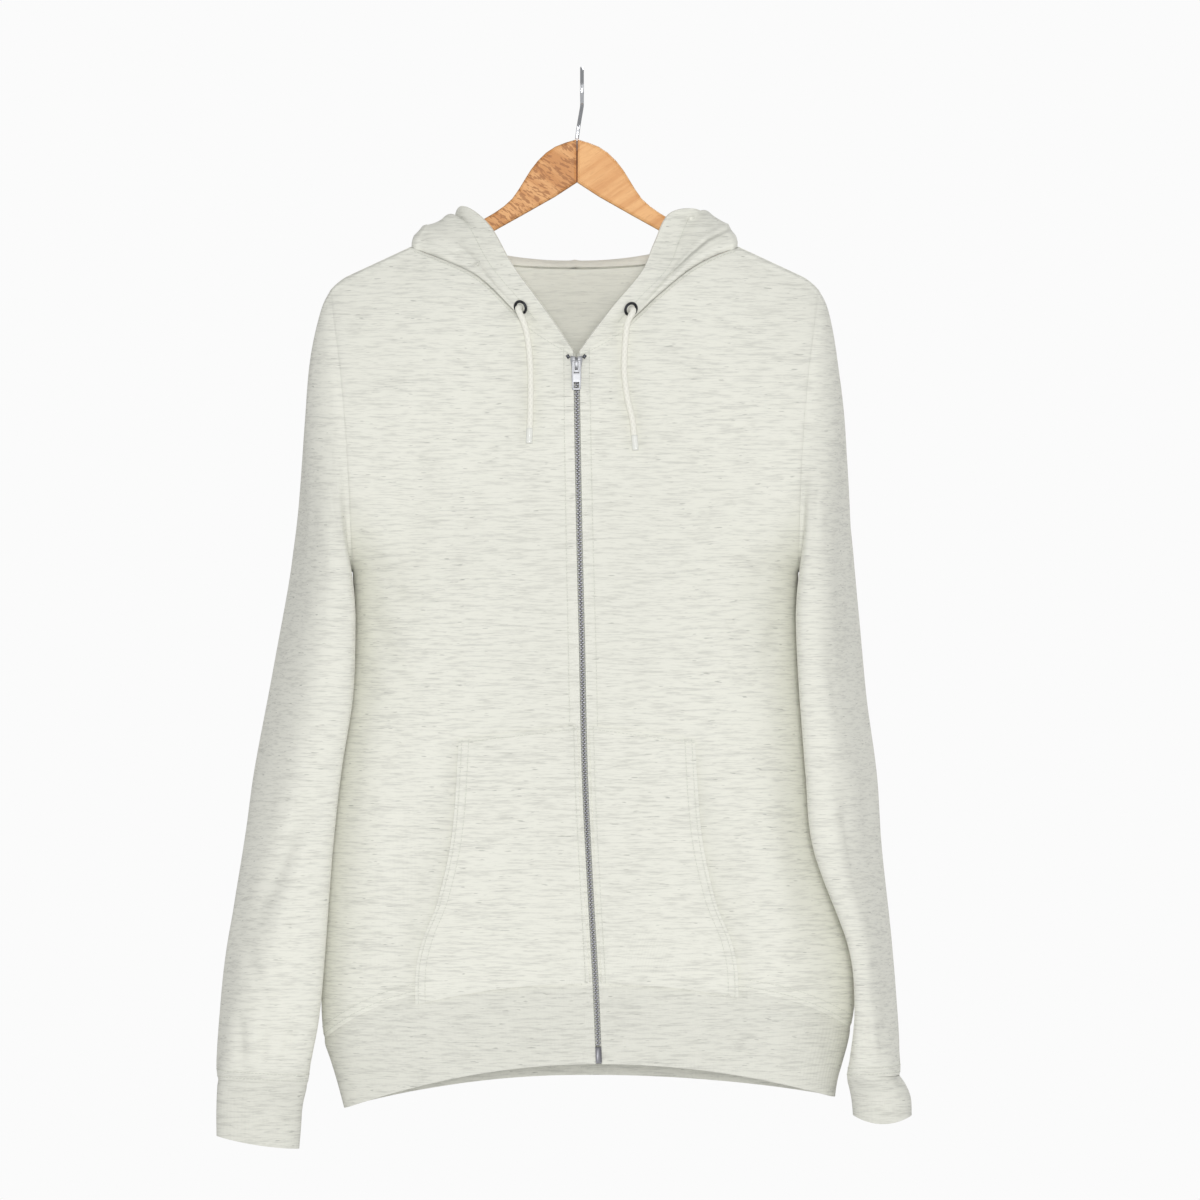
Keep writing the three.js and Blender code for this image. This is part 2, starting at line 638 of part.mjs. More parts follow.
// Moves a sewn edge half a seam gap into its own piece
function openSeams(piece) {
  const { grid, normals, closed, own } = piece;
  const columns = grid.length;
  const rows = grid[0].length;
  const moved = grid.map((line) => line.map((point) => point.clone()));
  const shift = (i, j, before, after, inside) => {
    const along = after.clone().sub(before);
    const aside = along.cross(normals[i][j]).normalize();
    if (aside.dot(inside.clone().sub(grid[i][j])) < 0) aside.negate();
    const fold = clamp(own[i][j].dot(normals[i][j]), 0.5, 1);
    moved[i][j].addScaledVector(aside, piece.gap / 2 / fold);
  };
  for (const seam of piece.seams) {
    const alongRow = seam === 'top' || seam === 'bottom';
    const fixed = seam === 'bottom' ? rows - 1 : seam === 'end' ? columns - 1 : 0;
    const step = fixed === 0 ? 1 : -1;
    const length = alongRow ? columns : rows;
    for (let k = 0; k < length; k += 1) {
      const wrap = alongRow && closed;
      const a = wrap ? (k + length - 1) % length : Math.max(0, k - 1);
      const b = wrap ? (k + 1) % length : Math.min(length - 1, k + 1);
      if (alongRow) shift(k, fixed, grid[a][fixed], grid[b][fixed], grid[k][fixed + step]);
      else shift(fixed, k, grid[fixed][a], grid[fixed][b], grid[fixed + step][k]);
    }
  }
  piece.grid = moved;
}

// A closed wall from a grid of its outside points
function wallGeometry(outside, inside, closed) {
  const columns = outside.length;
  const rows = outside[0].length;
  const position = [];
  for (const skin of [outside, inside]) {
    for (const line of skin) for (const point of line) position.push(point.x, point.y, point.z);
  }
  const index = [];
  const at = (skin, i, j) => skin * columns * rows + (i % columns) * rows + j;
  const quad = (a, b, c, d) => index.push(a, b, c, a, c, d);
  const spans = closed ? columns : columns - 1;
  for (let i = 0; i < spans; i += 1) {
    for (let j = 0; j < rows - 1; j += 1) {
      quad(at(0, i, j), at(0, i + 1, j), at(0, i + 1, j + 1), at(0, i, j + 1));
      quad(at(1, i, j), at(1, i, j + 1), at(1, i + 1, j + 1), at(1, i + 1, j));
    }
    quad(at(0, i, 0), at(1, i, 0), at(1, i + 1, 0), at(0, i + 1, 0));
    quad(at(0, i, rows - 1), at(0, i + 1, rows - 1), at(1, i + 1, rows - 1), at(1, i, rows - 1));
  }
  if (!closed) {
    for (let j = 0; j < rows - 1; j += 1) {
      quad(at(0, 0, j), at(0, 0, j + 1), at(1, 0, j + 1), at(1, 0, j));
      const end = columns - 1;
      quad(at(0, end, j), at(1, end, j), at(1, end, j + 1), at(0, end, j + 1));
    }
  }
  return faceOut(position, index);
}

function signedVolume(position, index) {
  const a = new THREE.Vector3();
  const b = new THREE.Vector3();
  const c = new THREE.Vector3();
  let sum = 0;
  for (let k = 0; k < index.length; k += 3) {
    a.fromArray(position, index[k] * 3);
    b.fromArray(position, index[k + 1] * 3);
    c.fromArray(position, index[k + 2] * 3);
    sum += a.dot(b.cross(c));
  }
  return sum / 6;
}

function faceOut(position, index) {
  if (signedVolume(position, index) < 0) {
    for (let k = 0; k < index.length; k += 3) [index[k + 1], index[k + 2]] = [index[k + 2], index[k + 1]];
  }
  const geometry = new THREE.BufferGeometry();
  geometry.setAttribute('position', new THREE.Float32BufferAttribute(position, 3));
  geometry.setIndex(index);
  return geometry;
}

function clothGeometry(piece, thickness) {
  const inside = piece.grid.map((line, i) => line.map((point, j) => (
    point.clone().addScaledVector(piece.normals[i][j], -thickness))));
  return wallGeometry(piece.grid, inside, piece.closed);
}

// A rod through stations, each a closed outline with the same number of points
function loft(stations) {
  const sides = stations[0].length;
  const position = stations.flat().flatMap((point) => [point.x, point.y, point.z]);
  const index = [];
  for (let s = 0; s < stations.length - 1; s += 1) {
    for (let k = 0; k < sides; k += 1) {
      const a = s * sides + k;
      const b = s * sides + (k + 1) % sides;
      index.push(a, b, b + sides, a, b + sides, a + sides);
    }
  }
  return { position, index, sides };
}

function toSolid(geometry) {
  const bare = geometry.clone();
  for (const name of Object.keys(bare.attributes)) if (name !== 'position') bare.deleteAttribute(name);
  const merged = mergeVertices(bare, 1e-4);
  return new wasm.Manifold(new wasm.Mesh({
    numProp: 3,
    vertProperties: new Float32Array(merged.attributes.position.array),
    triVerts: new Uint32Array(merged.index.array),
  }));
}

function fromSolid(solidShape) {
  const mesh = solidShape.getMesh();
  const geometry = new THREE.BufferGeometry();
  geometry.setAttribute('position', new THREE.BufferAttribute(new Float32Array(mesh.vertProperties), 3));
  geometry.setIndex(new THREE.BufferAttribute(new Uint32Array(mesh.triVerts), 1));
  return geometry;
}

const garment = new THREE.Group();

function addPart(name, geometry, look, parent = garment) {
  const mesh = new THREE.Mesh(geometry, new THREE.MeshStandardMaterial(look));
  mesh.name = name;
  parent.add(mesh);
  return mesh;
}

// Body panels, sleeves, cuffs, waistband and hood, sewn together
const panels = {};
for (const side of ['left', 'right']) {
  panels[side] = { front: halfPanel(side, true), back: halfPanel(side, false) };
}
panels.right.back[0] = panels.left.back[0].map((point) => point.clone());

function joinHalves(left, right) {
  return [...left.slice(1).reverse(), ...right].map((line) => line.map((point) => point.clone()));
}

function buildCloth() {
  const pieces = [];
  const add = (name, grid, seams, thickness, look, outward, closed = false) => {
    const gap = closed ? seamGap * 1.4 : seamGap;
    pieces.push({ name, grid, seams, thickness, look, closed, gap, normals: gridNormals(grid, closed, outward) });
  };
  const bands = {};
  for (const side of ['left', 'right']) {
    const { front, back } = panels[side];
    const sign = sideSign[side];
    bands[side] = { front: halfBand(side, true, front), back: halfBand(side, false, back) };
    const sleeve = sleeveGrid(side, front, back);
    add(`front_${side}`, front, ['top', 'end', 'bottom'], fleece, cloth, -sign);
    for (const { name, from, to } of sleeveLengths[side]) {
      const rings = sleeve.map((line) => line.slice(from, to + 1).map((point) => point.clone()));
      add(`sleeve_${name}_${side}`, rings, ['top', 'bottom'], fleece, cloth, sign, true);
    }
    add(`cuff_${side}`, cuffGrid(side, sleeve), ['top'], bandCloth, rib, sign, true);
    add(`hood_${side}`, hoodGrid(side, front, back), ['top', 'end', 'bottom'], fleece, cloth, sign);
  }
  bands.right.back[0] = bands.left.back[0].map((point) => point.clone());
  const back = joinHalves(panels.left.back, panels.right.back);
  add('back', back, ['top', 'start', 'end', 'bottom'], fleece, cloth, 1);
  const backBand = joinHalves(bands.left.back, bands.right.back);
  const around = [
    ...bands.left.front,
    ...backBand.slice(1, -1),
    ...[...bands.right.front].reverse(),
  ];
  add('waistband', around.map((line) => line.map((point) => point.clone())), ['top'], bandCloth, rib, 1);
  agreeNormals(pieces);
  for (const piece of pieces) {
    openSeams(piece);
    addPart(piece.name, clothGeometry(piece, piece.thickness), piece.look);
  }
}

buildCloth();

// Pocket halves, made from the fronts' own places and moved out
function pocketGrid(side) {
  const sign = sideSign[side];
  const steps = (count) => Array.from({ length: count + 1 }, (_, i) => i / count);
  const place = (share, low, height) => {
    const topZ = lerp(pocketTop.atZip, pocketTop.atSide, share);
    const edgeX = lookUp(pocketEdge, 'z', 'x', lerp(topZ, frontSeam, low));
    const roughX = lerp(zipAt(topZ) + sign * pocketInset, sign * edgeX, share);
    const z = lerp(topZ, frontSeam - rise[side].frontSeam * roughX * roughX + pocketLift, low);
    const x = lerp(zipAt(z) + sign * pocketInset, sign * lookUp(pocketEdge, 'z', 'x', z), share);
    return overFront(x, z, height);
  };
  const grid = (extra) => steps(pocketColumns).map((share) => steps(pocketRows).map((low) => {
    const bulge = pocketBulge * share ** 1.4 * Math.sin(Math.PI * low) ** 0.7;
    return place(share, low, seamGap * 2 + bulge + extra);
  }));
  return wallGeometry(grid(pocketCloth), grid(0), false);
}

for (const side of ['left', 'right']) addPart(`pocket_${side}`, pocketGrid(side), cloth);

// Zip: the chain between the fronts with its tape behind them
const chainFrom = -263;
const chainTo = -838;
function zipStations(from, to, outline) {
  const edge = panelEdges('left', true);
  const heights = down.map((t) => edge.inner(t)[1]).filter((z) => z < from - 3 && z > to + 3);
  return [from, ...heights, to].map((z) => outline.map(([aside, height]) => overFront(zipAt(z) + aside, z, height)));
}

function closedLoft(stations, capOrder) {
  const { position, index, sides } = loft(stations);
  const last = (stations.length - 1) * sides;
  for (const [a, b, c] of capOrder) {
    index.push(c, b, a);
    index.push(last + a, last + b, last + c);
  }
  return faceOut(position, index);
}

const tapeHalf = 14;
const tapeTop = -bandCloth - seamGap * 1.5;
const tapeBack = tapeTop - tapeThickness;
const chainFace = -0.3;
const zipOutline = [
  [-tapeHalf, tapeTop], [-chainHalf, tapeTop], [-chainHalf, chainFace], [chainHalf, chainFace],
  [chainHalf, tapeTop], [tapeHalf, tapeTop], [tapeHalf, tapeBack], [chainHalf, tapeBack],
  [-chainHalf, tapeBack], [-tapeHalf, tapeBack],
];
const zipCaps = [
  [0, 1, 8], [0, 8, 9], [1, 2, 3], [1, 3, 4], [1, 4, 7], [1, 7, 8], [4, 5, 6], [4, 6, 7],
];
addPart('zip_chain', closedLoft(zipStations(zipTop - 2, chainTo, zipOutline), zipCaps), steel);

function blockOnZip(from, to, half, low, high) {
  const outline = [[-half, low], [half, low], [half, high], [-half, high]];
  return closedLoft(zipStations(from, to, outline), [[0, 1, 2], [0, 2, 3]]);
}
addPart('zip_box', blockOnZip(chainTo - seamGap, frontHem + 1, chainHalf, tapeBack, 0.8), steel);

// Slider with its bridge, and the pull tab that swings on it
const slider = { top: -246.5, bottom: -261, half: 5.4, foot: 4, notch: 1.6, thick: 2.6, clear: 0.75 };
const tab = {
  half: 3.8, neckHalf: 2.75, thick: 1.4, length: 25, eyeHalf: 1.6, eyeDeep: 4.6, bar: 1.4,
  hole: 2.3, rim: 2, wideFrom: 9, neckTo: 12,
};
const bridge = { half: 1.1, wire: 1.2, clear: 1.4, sunk: 0.4 };
const pivotZ = -251.5;
const sliderBase = overFront(zipAt(slider.bottom), slider.bottom, seamGap);
const sliderTilt = Math.atan2(
  overFront(zipAt(slider.bottom - 12), slider.bottom - 12, 0).y - overFront(zipAt(slider.top), slider.top, 0).y,
  slider.top - slider.bottom + 12,
);

function extrudeAlongX(shape, half) {
  const geometry = new THREE.ExtrudeGeometry(shape, { depth: 2 * half, bevelEnabled: false, curveSegments: 4 });
  const turn = new THREE.Matrix4().makeBasis(
    new THREE.Vector3(0, -1, 0), new THREE.Vector3(0, 0, 1), new THREE.Vector3(-1, 0, 0));
  geometry.applyMatrix4(turn);
  return geometry.translate(half, 0, 0);
}

function facePlate(shape, thick) {
  const geometry = new THREE.ExtrudeGeometry(shape, { depth: thick, bevelEnabled: false, curveSegments: 6 });
  return geometry.applyMatrix4(new THREE.Matrix4().makeBasis(
    new THREE.Vector3(1, 0, 0), new THREE.Vector3(0, 0, 1), new THREE.Vector3(0, -1, 0)));
}

// Shapes below are drawn about the pivot: right and up on the face, out of the cloth as height
const zipGroup = new THREE.Group();
const barBack = tab.bar / 2 + slider.clear;
const pivotPoint = new THREE.Vector3(zipAt(pivotZ), sliderBase.y - slider.thick - barBack, pivotZ);
zipGroup.position.copy(pivotPoint);
zipGroup.rotation.x = sliderTilt;
garment.add(zipGroup);

function sliderGeometry() {
  const up = slider.top - pivotZ;
  const lowEnd = slider.bottom - pivotZ;
  const face = new THREE.Shape();
  face.moveTo(-slider.foot, lowEnd);
  face.lineTo(slider.foot, lowEnd);
  face.quadraticCurveTo(slider.foot, (up + lowEnd) / 2, slider.half, up - 3);
  face.quadraticCurveTo(slider.half, up, slider.notch, up - 1.4);
  face.lineTo(-slider.notch, up - 1.4);
  face.quadraticCurveTo(-slider.half, up, -slider.half, up - 3);
  face.quadraticCurveTo(-slider.foot, (up + lowEnd) / 2, -slider.foot, lowEnd);
  const body = toSolid(facePlate(face, slider.thick).translate(0, barBack + slider.thick, 0));
  const inner = bridge.clear;
  const outer = bridge.clear + bridge.wire;
  const arch = new THREE.Shape();
  const sunk = -barBack - bridge.sunk;
  const bend = inner * 0.35;
  arch.moveTo(sunk, -outer);
  arch.lineTo(bend, -outer);
  arch.quadraticCurveTo(outer, -outer, outer, 0);
  arch.quadraticCurveTo(outer, outer, bend, outer);
  arch.lineTo(sunk, outer);
  arch.lineTo(sunk, inner);
  arch.lineTo(bend, inner);
  arch.quadraticCurveTo(inner, inner, inner, 0);
  arch.quadraticCurveTo(inner, -inner, bend, -inner);
  arch.lineTo(sunk, -inner);
  arch.closePath();
  return fromSolid(body.add(toSolid(extrudeAlongX(arch, bridge.half))));
}
addPart('zip_slider', sliderGeometry(), steel, zipGroup);

function tabGeometry() {
  const top = tab.bar / 2;
  const low = -tab.length + top;
  const outline = new THREE.Shape();
  outline.moveTo(-tab.neckHalf, top);
  outline.lineTo(tab.neckHalf, top);
  outline.lineTo(tab.neckHalf, low + tab.neckTo);
  outline.lineTo(tab.half, low + tab.wideFrom);
  outline.lineTo(tab.half, low + tab.rim);
  outline.quadraticCurveTo(tab.half, low, tab.half - tab.rim, low);
  outline.lineTo(-tab.half + tab.rim, low);
  outline.quadraticCurveTo(-tab.half, low, -tab.half, low + tab.rim);
  outline.lineTo(-tab.half, low + tab.wideFrom);
  outline.lineTo(-tab.neckHalf, low + tab.neckTo);
  outline.closePath();
  const plate = toSolid(facePlate(outline, tab.thick).translate(0, tab.thick / 2, 0));
  const window = (half, upper, lower) => toSolid(
    new THREE.BoxGeometry(2 * half, tab.thick * 3, upper - lower).translate(0, 0, (upper + lower) / 2));
  const eye = window(tab.eyeHalf, -top, -top - tab.eyeDeep);
  const hole = window(tab.hole, low + tab.rim + 2 * tab.hole, low + tab.rim);
  return fromSolid(plate.subtract(eye).subtract(hole));
}
addPart('zip_pull', tabGeometry(), steel, zipGroup);

// Top stops beside the chain's end
const zipStop = { width: 3, thick: 1.6, height: 3.4, aside: 7.8, below: 4.5, out: 1.1, turn: 0.6 };
for (const side of ['left', 'right']) {
  const x = zipAt(zipTop) + sideSign[side] * zipStop.aside;
  const stop = new THREE.BoxGeometry(zipStop.width, zipStop.thick, zipStop.height);
  const at = overFront(x, zipTop - zipStop.below, seamGap + zipStop.out);
  stop.rotateY(sideSign[side] * zipStop.turn).translate(at.x, at.y, at.z);
  addPart(`zip_stop_${side}`, stop, gunmetal);
}

// Eyelets on the hood's front corners: the place on the hood that the front view puts nearest to the goal
function hoodPlace(side, goal) {
  const grid = hoodGrid(side, panels[side].front, panels[side].back);
  const normals = gridNormals(grid, false, sideSign[side]);
  const parts = 4;
  let best = { gap: Infinity };
  for (let a = 0; a < neckColumns * parts; a += 1) {
    for (let b = 0; b < hoodRows.length / 2 * parts; b += 1) {
      const i = Math.floor(a / parts);
      const j = Math.floor(b / parts);
      const s = a / parts - i;
      const t = b / parts - j;
      const mix = (table) => table[i][j].clone().lerp(table[i + 1][j], s)
        .lerp(table[i][j + 1].clone().lerp(table[i + 1][j + 1], s), t);
      const point = mix(grid);
      const gap = Math.hypot(point.x - goal.x, point.z - goal.z);
      if (gap < best.gap) best = { gap, point, normal: mix(normals).normalize() };
    }
  }
  return best;
}

const eyeletPlaces = {};
for (const side of ['left', 'right']) {
  const place = hoodPlace(side, eyelet[side]);
  eyeletPlaces[side] = place;
  const rim = [
    new THREE.Vector2(eyelet.hole, 0),
    new THREE.Vector2(eyelet.outer, 0),
    new THREE.Vector2(eyelet.outer - 0.5, eyelet.rise * 0.75),
    new THREE.Vector2((eyelet.outer + eyelet.hole) / 2, eyelet.rise),
    new THREE.Vector2(eyelet.hole + 0.3, eyelet.rise * 0.7),
    new THREE.Vector2(eyelet.hole, 0),
  ];
  const ring = new THREE.LatheGeometry(rim, 20);
  ring.applyQuaternion(new THREE.Quaternion().setFromUnitVectors(new THREE.Vector3(0, 1, 0), place.normal));
  const at = place.point.clone().addScaledVector(place.normal, seamGap + 0.5);
  addPart(`eyelet_${side}`, ring.translate(at.x, at.y, at.z), gunmetal);
}

// Drawcord ends: out of each eyelet, over its rim and down the front
const cordRoutes = {
  left: [
    { x: -46, z: -217, out: 7.5 },
    { x: -43, z: -226, out: 6 },
    { x: -40.8, z: -240, out: 4 },
    { x: -39.5, z: -258, out: 3.3 },
    { x: -39.4, z: -284, out: 3.3 },
    { x: -40, z: -305, out: 3.3 },
    { x: -41, z: -322, out: 3.3 },
  ],
  right: [
    { x: 42.8, z: -220, out: 7.5 },
    { x: 41.5, z: -232, out: 5.4 },
    { x: 40.6, z: -246, out: 3.7 },
    { x: 40.6, z: -262, out: 3.3 },
    { x: 43.4, z: -284, out: 3.3 },
    { x: 47.5, z: -302, out: 3.3 },
    { x: 50.4, z: -328, out: 3.3 },
  ],
};
const cordFrom = 1.2;
const cordBend = 5;

function tube(points, radius, sides, steps) {
  const path = new THREE.CatmullRomCurve3(points, false, 'centripetal');
  const section = new THREE.Shape();
  for (let k = 0; k < sides; k += 1) {
    const angle = 2 * Math.PI * k / sides;
    const x = radius * Math.cos(angle);
    const y = radius * Math.sin(angle);
    if (k === 0) section.moveTo(x, y);
    else section.lineTo(x, y);
  }
  section.closePath();
  return new THREE.ExtrudeGeometry(section, { steps, extrudePath: path, bevelEnabled: false });
}

function cordPoints(side) {
  const start = eyeletPlaces[side];
  const first = start.point.clone().addScaledVector(start.normal, cordFrom);
  const second = start.point.clone().addScaledVector(start.normal, cordBend);
  return [first, second, ...cordRoutes[side].map((row) => overFront(row.x, row.z, row.out))];
}

for (const side of ['left', 'right']) {
  const points = cordPoints(side);
  addPart(`cord_${side}`, tube(points, cordRadius, cordSides, cordSteps), cordColour);
  const last = points[points.length - 1];
  const along = last.clone().sub(points[points.length - 2]).normalize();
  const from = last.clone().addScaledVector(along, seamGap);
  const to = last.clone().addScaledVector(along, seamGap + cordTipLength);
  addPart(`cord_tip_${side}`, tube([from, to], cordRadius + 0.15, cordSides, 1), tipColour);
}

// Hanger halves and hook
function hangerShape(side) {
  const sign = sideSign[side];
  const shape = new THREE.Shape();
  const rest = [143, 165, 182, 194, 200].map((x) => (
    { x, z: shoulderHeight(sign * x) - hangerBelow }));
  const top = [...hangerTop, ...rest].map(({ x, z }) => new THREE.Vector2(x, z));
  const line = (points, count) => new THREE.SplineCurve(points).getPoints(count);
  const inset = (points, by) => points.map((point) => new THREE.Vector2(point.x, point.y + by));
  const start = 0.15 + hangerBevel;
  const upper = inset(line(top, 22), -hangerBevel).filter((point) => point.x > start);
  const lower = inset(line(hangerBottom.map(({ x, z }) => new THREE.Vector2(x, z)), 12), hangerBevel)
    .filter((point) => point.x > start);
  shape.moveTo(sign * start, top[0].y - hangerBevel);
  for (const point of upper) shape.lineTo(sign * point.x, point.y);
  const last = upper[upper.length - 1];
  shape.lineTo(sign * (last.x + 2.2), last.y - 3.5);
  shape.lineTo(sign * (last.x + 1), last.y - 7);
  shape.lineTo(sign * (last.x - 4), last.y - 7.5);
  for (const point of lower) shape.lineTo(sign * point.x, point.y);
  shape.lineTo(sign * start, -98 + hangerBevel);
  shape.closePath();
  return shape;
}

for (const side of ['left', 'right']) {
  const depth = hangerThickness - 2 * hangerBevel;
  const geometry = new THREE.ExtrudeGeometry(hangerShape(side), {
    depth,
    bevelEnabled: true,
    bevelThickness: hangerBevel,
    bevelSize: hangerBevel,
    bevelSegments: 2,
    curveSegments: 4,
  });
  geometry.rotateX(Math.PI / 2).translate(0, depth / 2, 0);
  addPart(`hanger_${side}`, geometry, side === 'left' ? darkWood : lightWood);
}

function hookGeometry() {
  const radius = hookInner + wireRadius;
  const points = [
    new THREE.Vector3(0, 0, hangerTop[0].z + 0.75),
    new THREE.Vector3(0.6, 0, -54),
    new THREE.Vector3(1.6, 0.6, -47),
  ];
  for (let angle = -42; angle <= 212; angle += 15.875) {
    const turn = THREE.MathUtils.degToRad(angle);
    const z = -hookInner + radius * Math.sin(turn);
    points.push(new THREE.Vector3(hookLean * clamp((z + 60) / 30, 0, 1), radius * Math.cos(turn), z));
  }
  return tube(points, wireRadius, 8, 34);
}
addPart('hanger_hook', hookGeometry(), chrome);

const group = new THREE.Group();
garment.position.x = -hookLean;
group.add(garment);

export default group;
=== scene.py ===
import math

import bmesh
import bpy
import numpy as np
from mathutils import Matrix, Vector


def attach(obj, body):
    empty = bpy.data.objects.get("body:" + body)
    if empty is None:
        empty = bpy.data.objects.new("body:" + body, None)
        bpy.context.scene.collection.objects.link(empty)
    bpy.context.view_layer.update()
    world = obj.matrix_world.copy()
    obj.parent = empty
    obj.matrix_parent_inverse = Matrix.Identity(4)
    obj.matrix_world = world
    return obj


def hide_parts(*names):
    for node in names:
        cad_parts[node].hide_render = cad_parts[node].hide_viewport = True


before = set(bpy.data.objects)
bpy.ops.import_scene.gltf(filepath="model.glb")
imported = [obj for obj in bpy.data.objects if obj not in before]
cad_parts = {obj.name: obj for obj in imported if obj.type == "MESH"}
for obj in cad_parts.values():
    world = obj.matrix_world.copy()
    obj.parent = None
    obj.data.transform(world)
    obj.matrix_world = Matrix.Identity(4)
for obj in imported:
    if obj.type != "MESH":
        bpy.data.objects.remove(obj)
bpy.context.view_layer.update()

# The cloth is worked out in millimetres about the garment's own centre line, as it was cut;
# hookLean is how far that line stands beside the hook's crown
hookLean = 4.3
garmentBody = "garment"
pullBody = "pull_tab"

# camera, floor and light come first, so that every look is from the same place
cameraSet = {"distance": 12.0, "aimX": 0.0155, "aimZ": -0.4558, "seenWidth": 1.032, "sensor": 36.0, "clipEnd": 200}
floorSet = {"height": -2.35, "size": 60.0, "colour": (0.88,) * 3, "light": (0.88 * 1.02,) * 3}
lightSet = {
    "world": (1.0, 1.0, 1.0), "worldStrength": 0.34, "backdrop": 0.965, "away": 4,
    "key": {"azimuth": 1, "elevation": 4, "spread": 14, "strength": 1.45},
    "left": {"azimuth": -64, "elevation": 12, "spread": 30, "strength": 0.42},
    "right": {"azimuth": 64, "elevation": 12, "spread": 30, "strength": 0.46},
    "rear": {"azimuth": 165, "elevation": 28, "spread": 30, "strength": 1.2},
}


def clearSelection():
    bpy.ops.object.select_all(action="DESELECT")


def link(name, data):
    made = bpy.data.objects.new(name, data)
    bpy.context.collection.objects.link(made)
    return made


def onBody(piece, nodes, body=garmentBody):
    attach(piece, body)
    if nodes:
        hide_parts(*nodes)


def inFrame(points):
    # from the garment's millimetres to the frame's metres
    return (np.asarray(points, float) + np.array([-hookLean, 0, 0])) / 1000


def runAlong(points):
    # the length run at each point of a line
    return np.concatenate([[0], np.cumsum(np.linalg.norm(np.diff(points, axis=0), axis=1))])


def unit(vectors, axis=-1):
    return vectors / np.linalg.norm(vectors, axis=axis, keepdims=True)


def makeCamera():
    data = bpy.data.cameras.new("camera")
    data.sensor_width = cameraSet["sensor"]
    data.lens = cameraSet["sensor"] * cameraSet["distance"] / cameraSet["seenWidth"]
    data.clip_end = cameraSet["clipEnd"]
    camera = link("camera", data)
    camera.location = (cameraSet["aimX"], -cameraSet["distance"], cameraSet["aimZ"])
    camera.rotation_euler = (math.pi / 2, 0, 0)
    bpy.context.scene.camera = camera


def makeLights():
    world = bpy.data.worlds.new("studio")
    world.use_nodes = True
    tree = world.node_tree
    # what is seen past the garment is a brighter white than what lights it
    back, seen = tree.nodes["Background"], tree.nodes.new("ShaderNodeBackground")
    for shade, strength in ((back, "worldStrength"), (seen, "backdrop")):
        shade.inputs["Color"].default_value = (*lightSet["world"], 1)
        shade.inputs["Strength"].default_value = lightSet[strength]
    path = tree.nodes.new("ShaderNodeLightPath")
    mix = tree.nodes.new("ShaderNodeMixShader")
    for place, socket in enumerate((path.outputs["Is Camera Ray"], back.outputs[0], seen.outputs[0])):
        tree.links.new(socket, mix.inputs[place])
    tree.links.new(mix.outputs[0], tree.nodes["World Output"].inputs["Surface"])
    bpy.context.scene.world = world
    for name in ("key", "left", "right", "rear"):
        row = lightSet[name]
        data = bpy.data.lights.new(name, "SUN")
        data.energy = row["strength"]
        data.angle = math.radians(row["spread"])
        lamp = link(name, data)
        turn, lift = math.radians(row["azimuth"]), math.radians(row["elevation"])
        away = Vector((math.sin(turn) * math.cos(lift), -math.cos(turn) * math.cos(lift), math.sin(lift)))
        lamp.location = away * lightSet["away"]
        lamp.rotation_euler = (-away).to_track_quat("-Z", "Y").to_euler()


makeCamera()
makeLights()
bpy.context.scene.view_settings.view_transform = "Standard"
print("camera and lights")


# materials: a socket wrapped so that shader maths reads as plain sums
class Wire:
    def __init__(self, finish, socket):
        self.finish = finish
        self.socket = socket

    def maths(self, operation, *others):
        sockets = {0: self}
        for place, other in enumerate(others):
            sockets[place + 1] = other
        return self.finish.node("ShaderNodeMath", {"operation": operation}, sockets)

    def __add__(self, other):
        return self.maths("ADD", other)

    def __radd__(self, other):
        return self.maths("ADD", other)

    def __sub__(self, other):
        return self.maths("SUBTRACT", other)

    def __rsub__(self, other):
        return self.finish.node("ShaderNodeMath", {"operation": "SUBTRACT"}, {0: other, 1: self})

    def __mul__(self, other):
        return self.maths("MULTIPLY", other)

    def __rmul__(self, other):
        return self.maths("MULTIPLY", other)

    def __truediv__(self, other):
        return self.maths("DIVIDE", other)

    def __pow__(self, other):
        return self.maths("POWER", other)

    def cosine(self):
        return self.maths("COSINE")


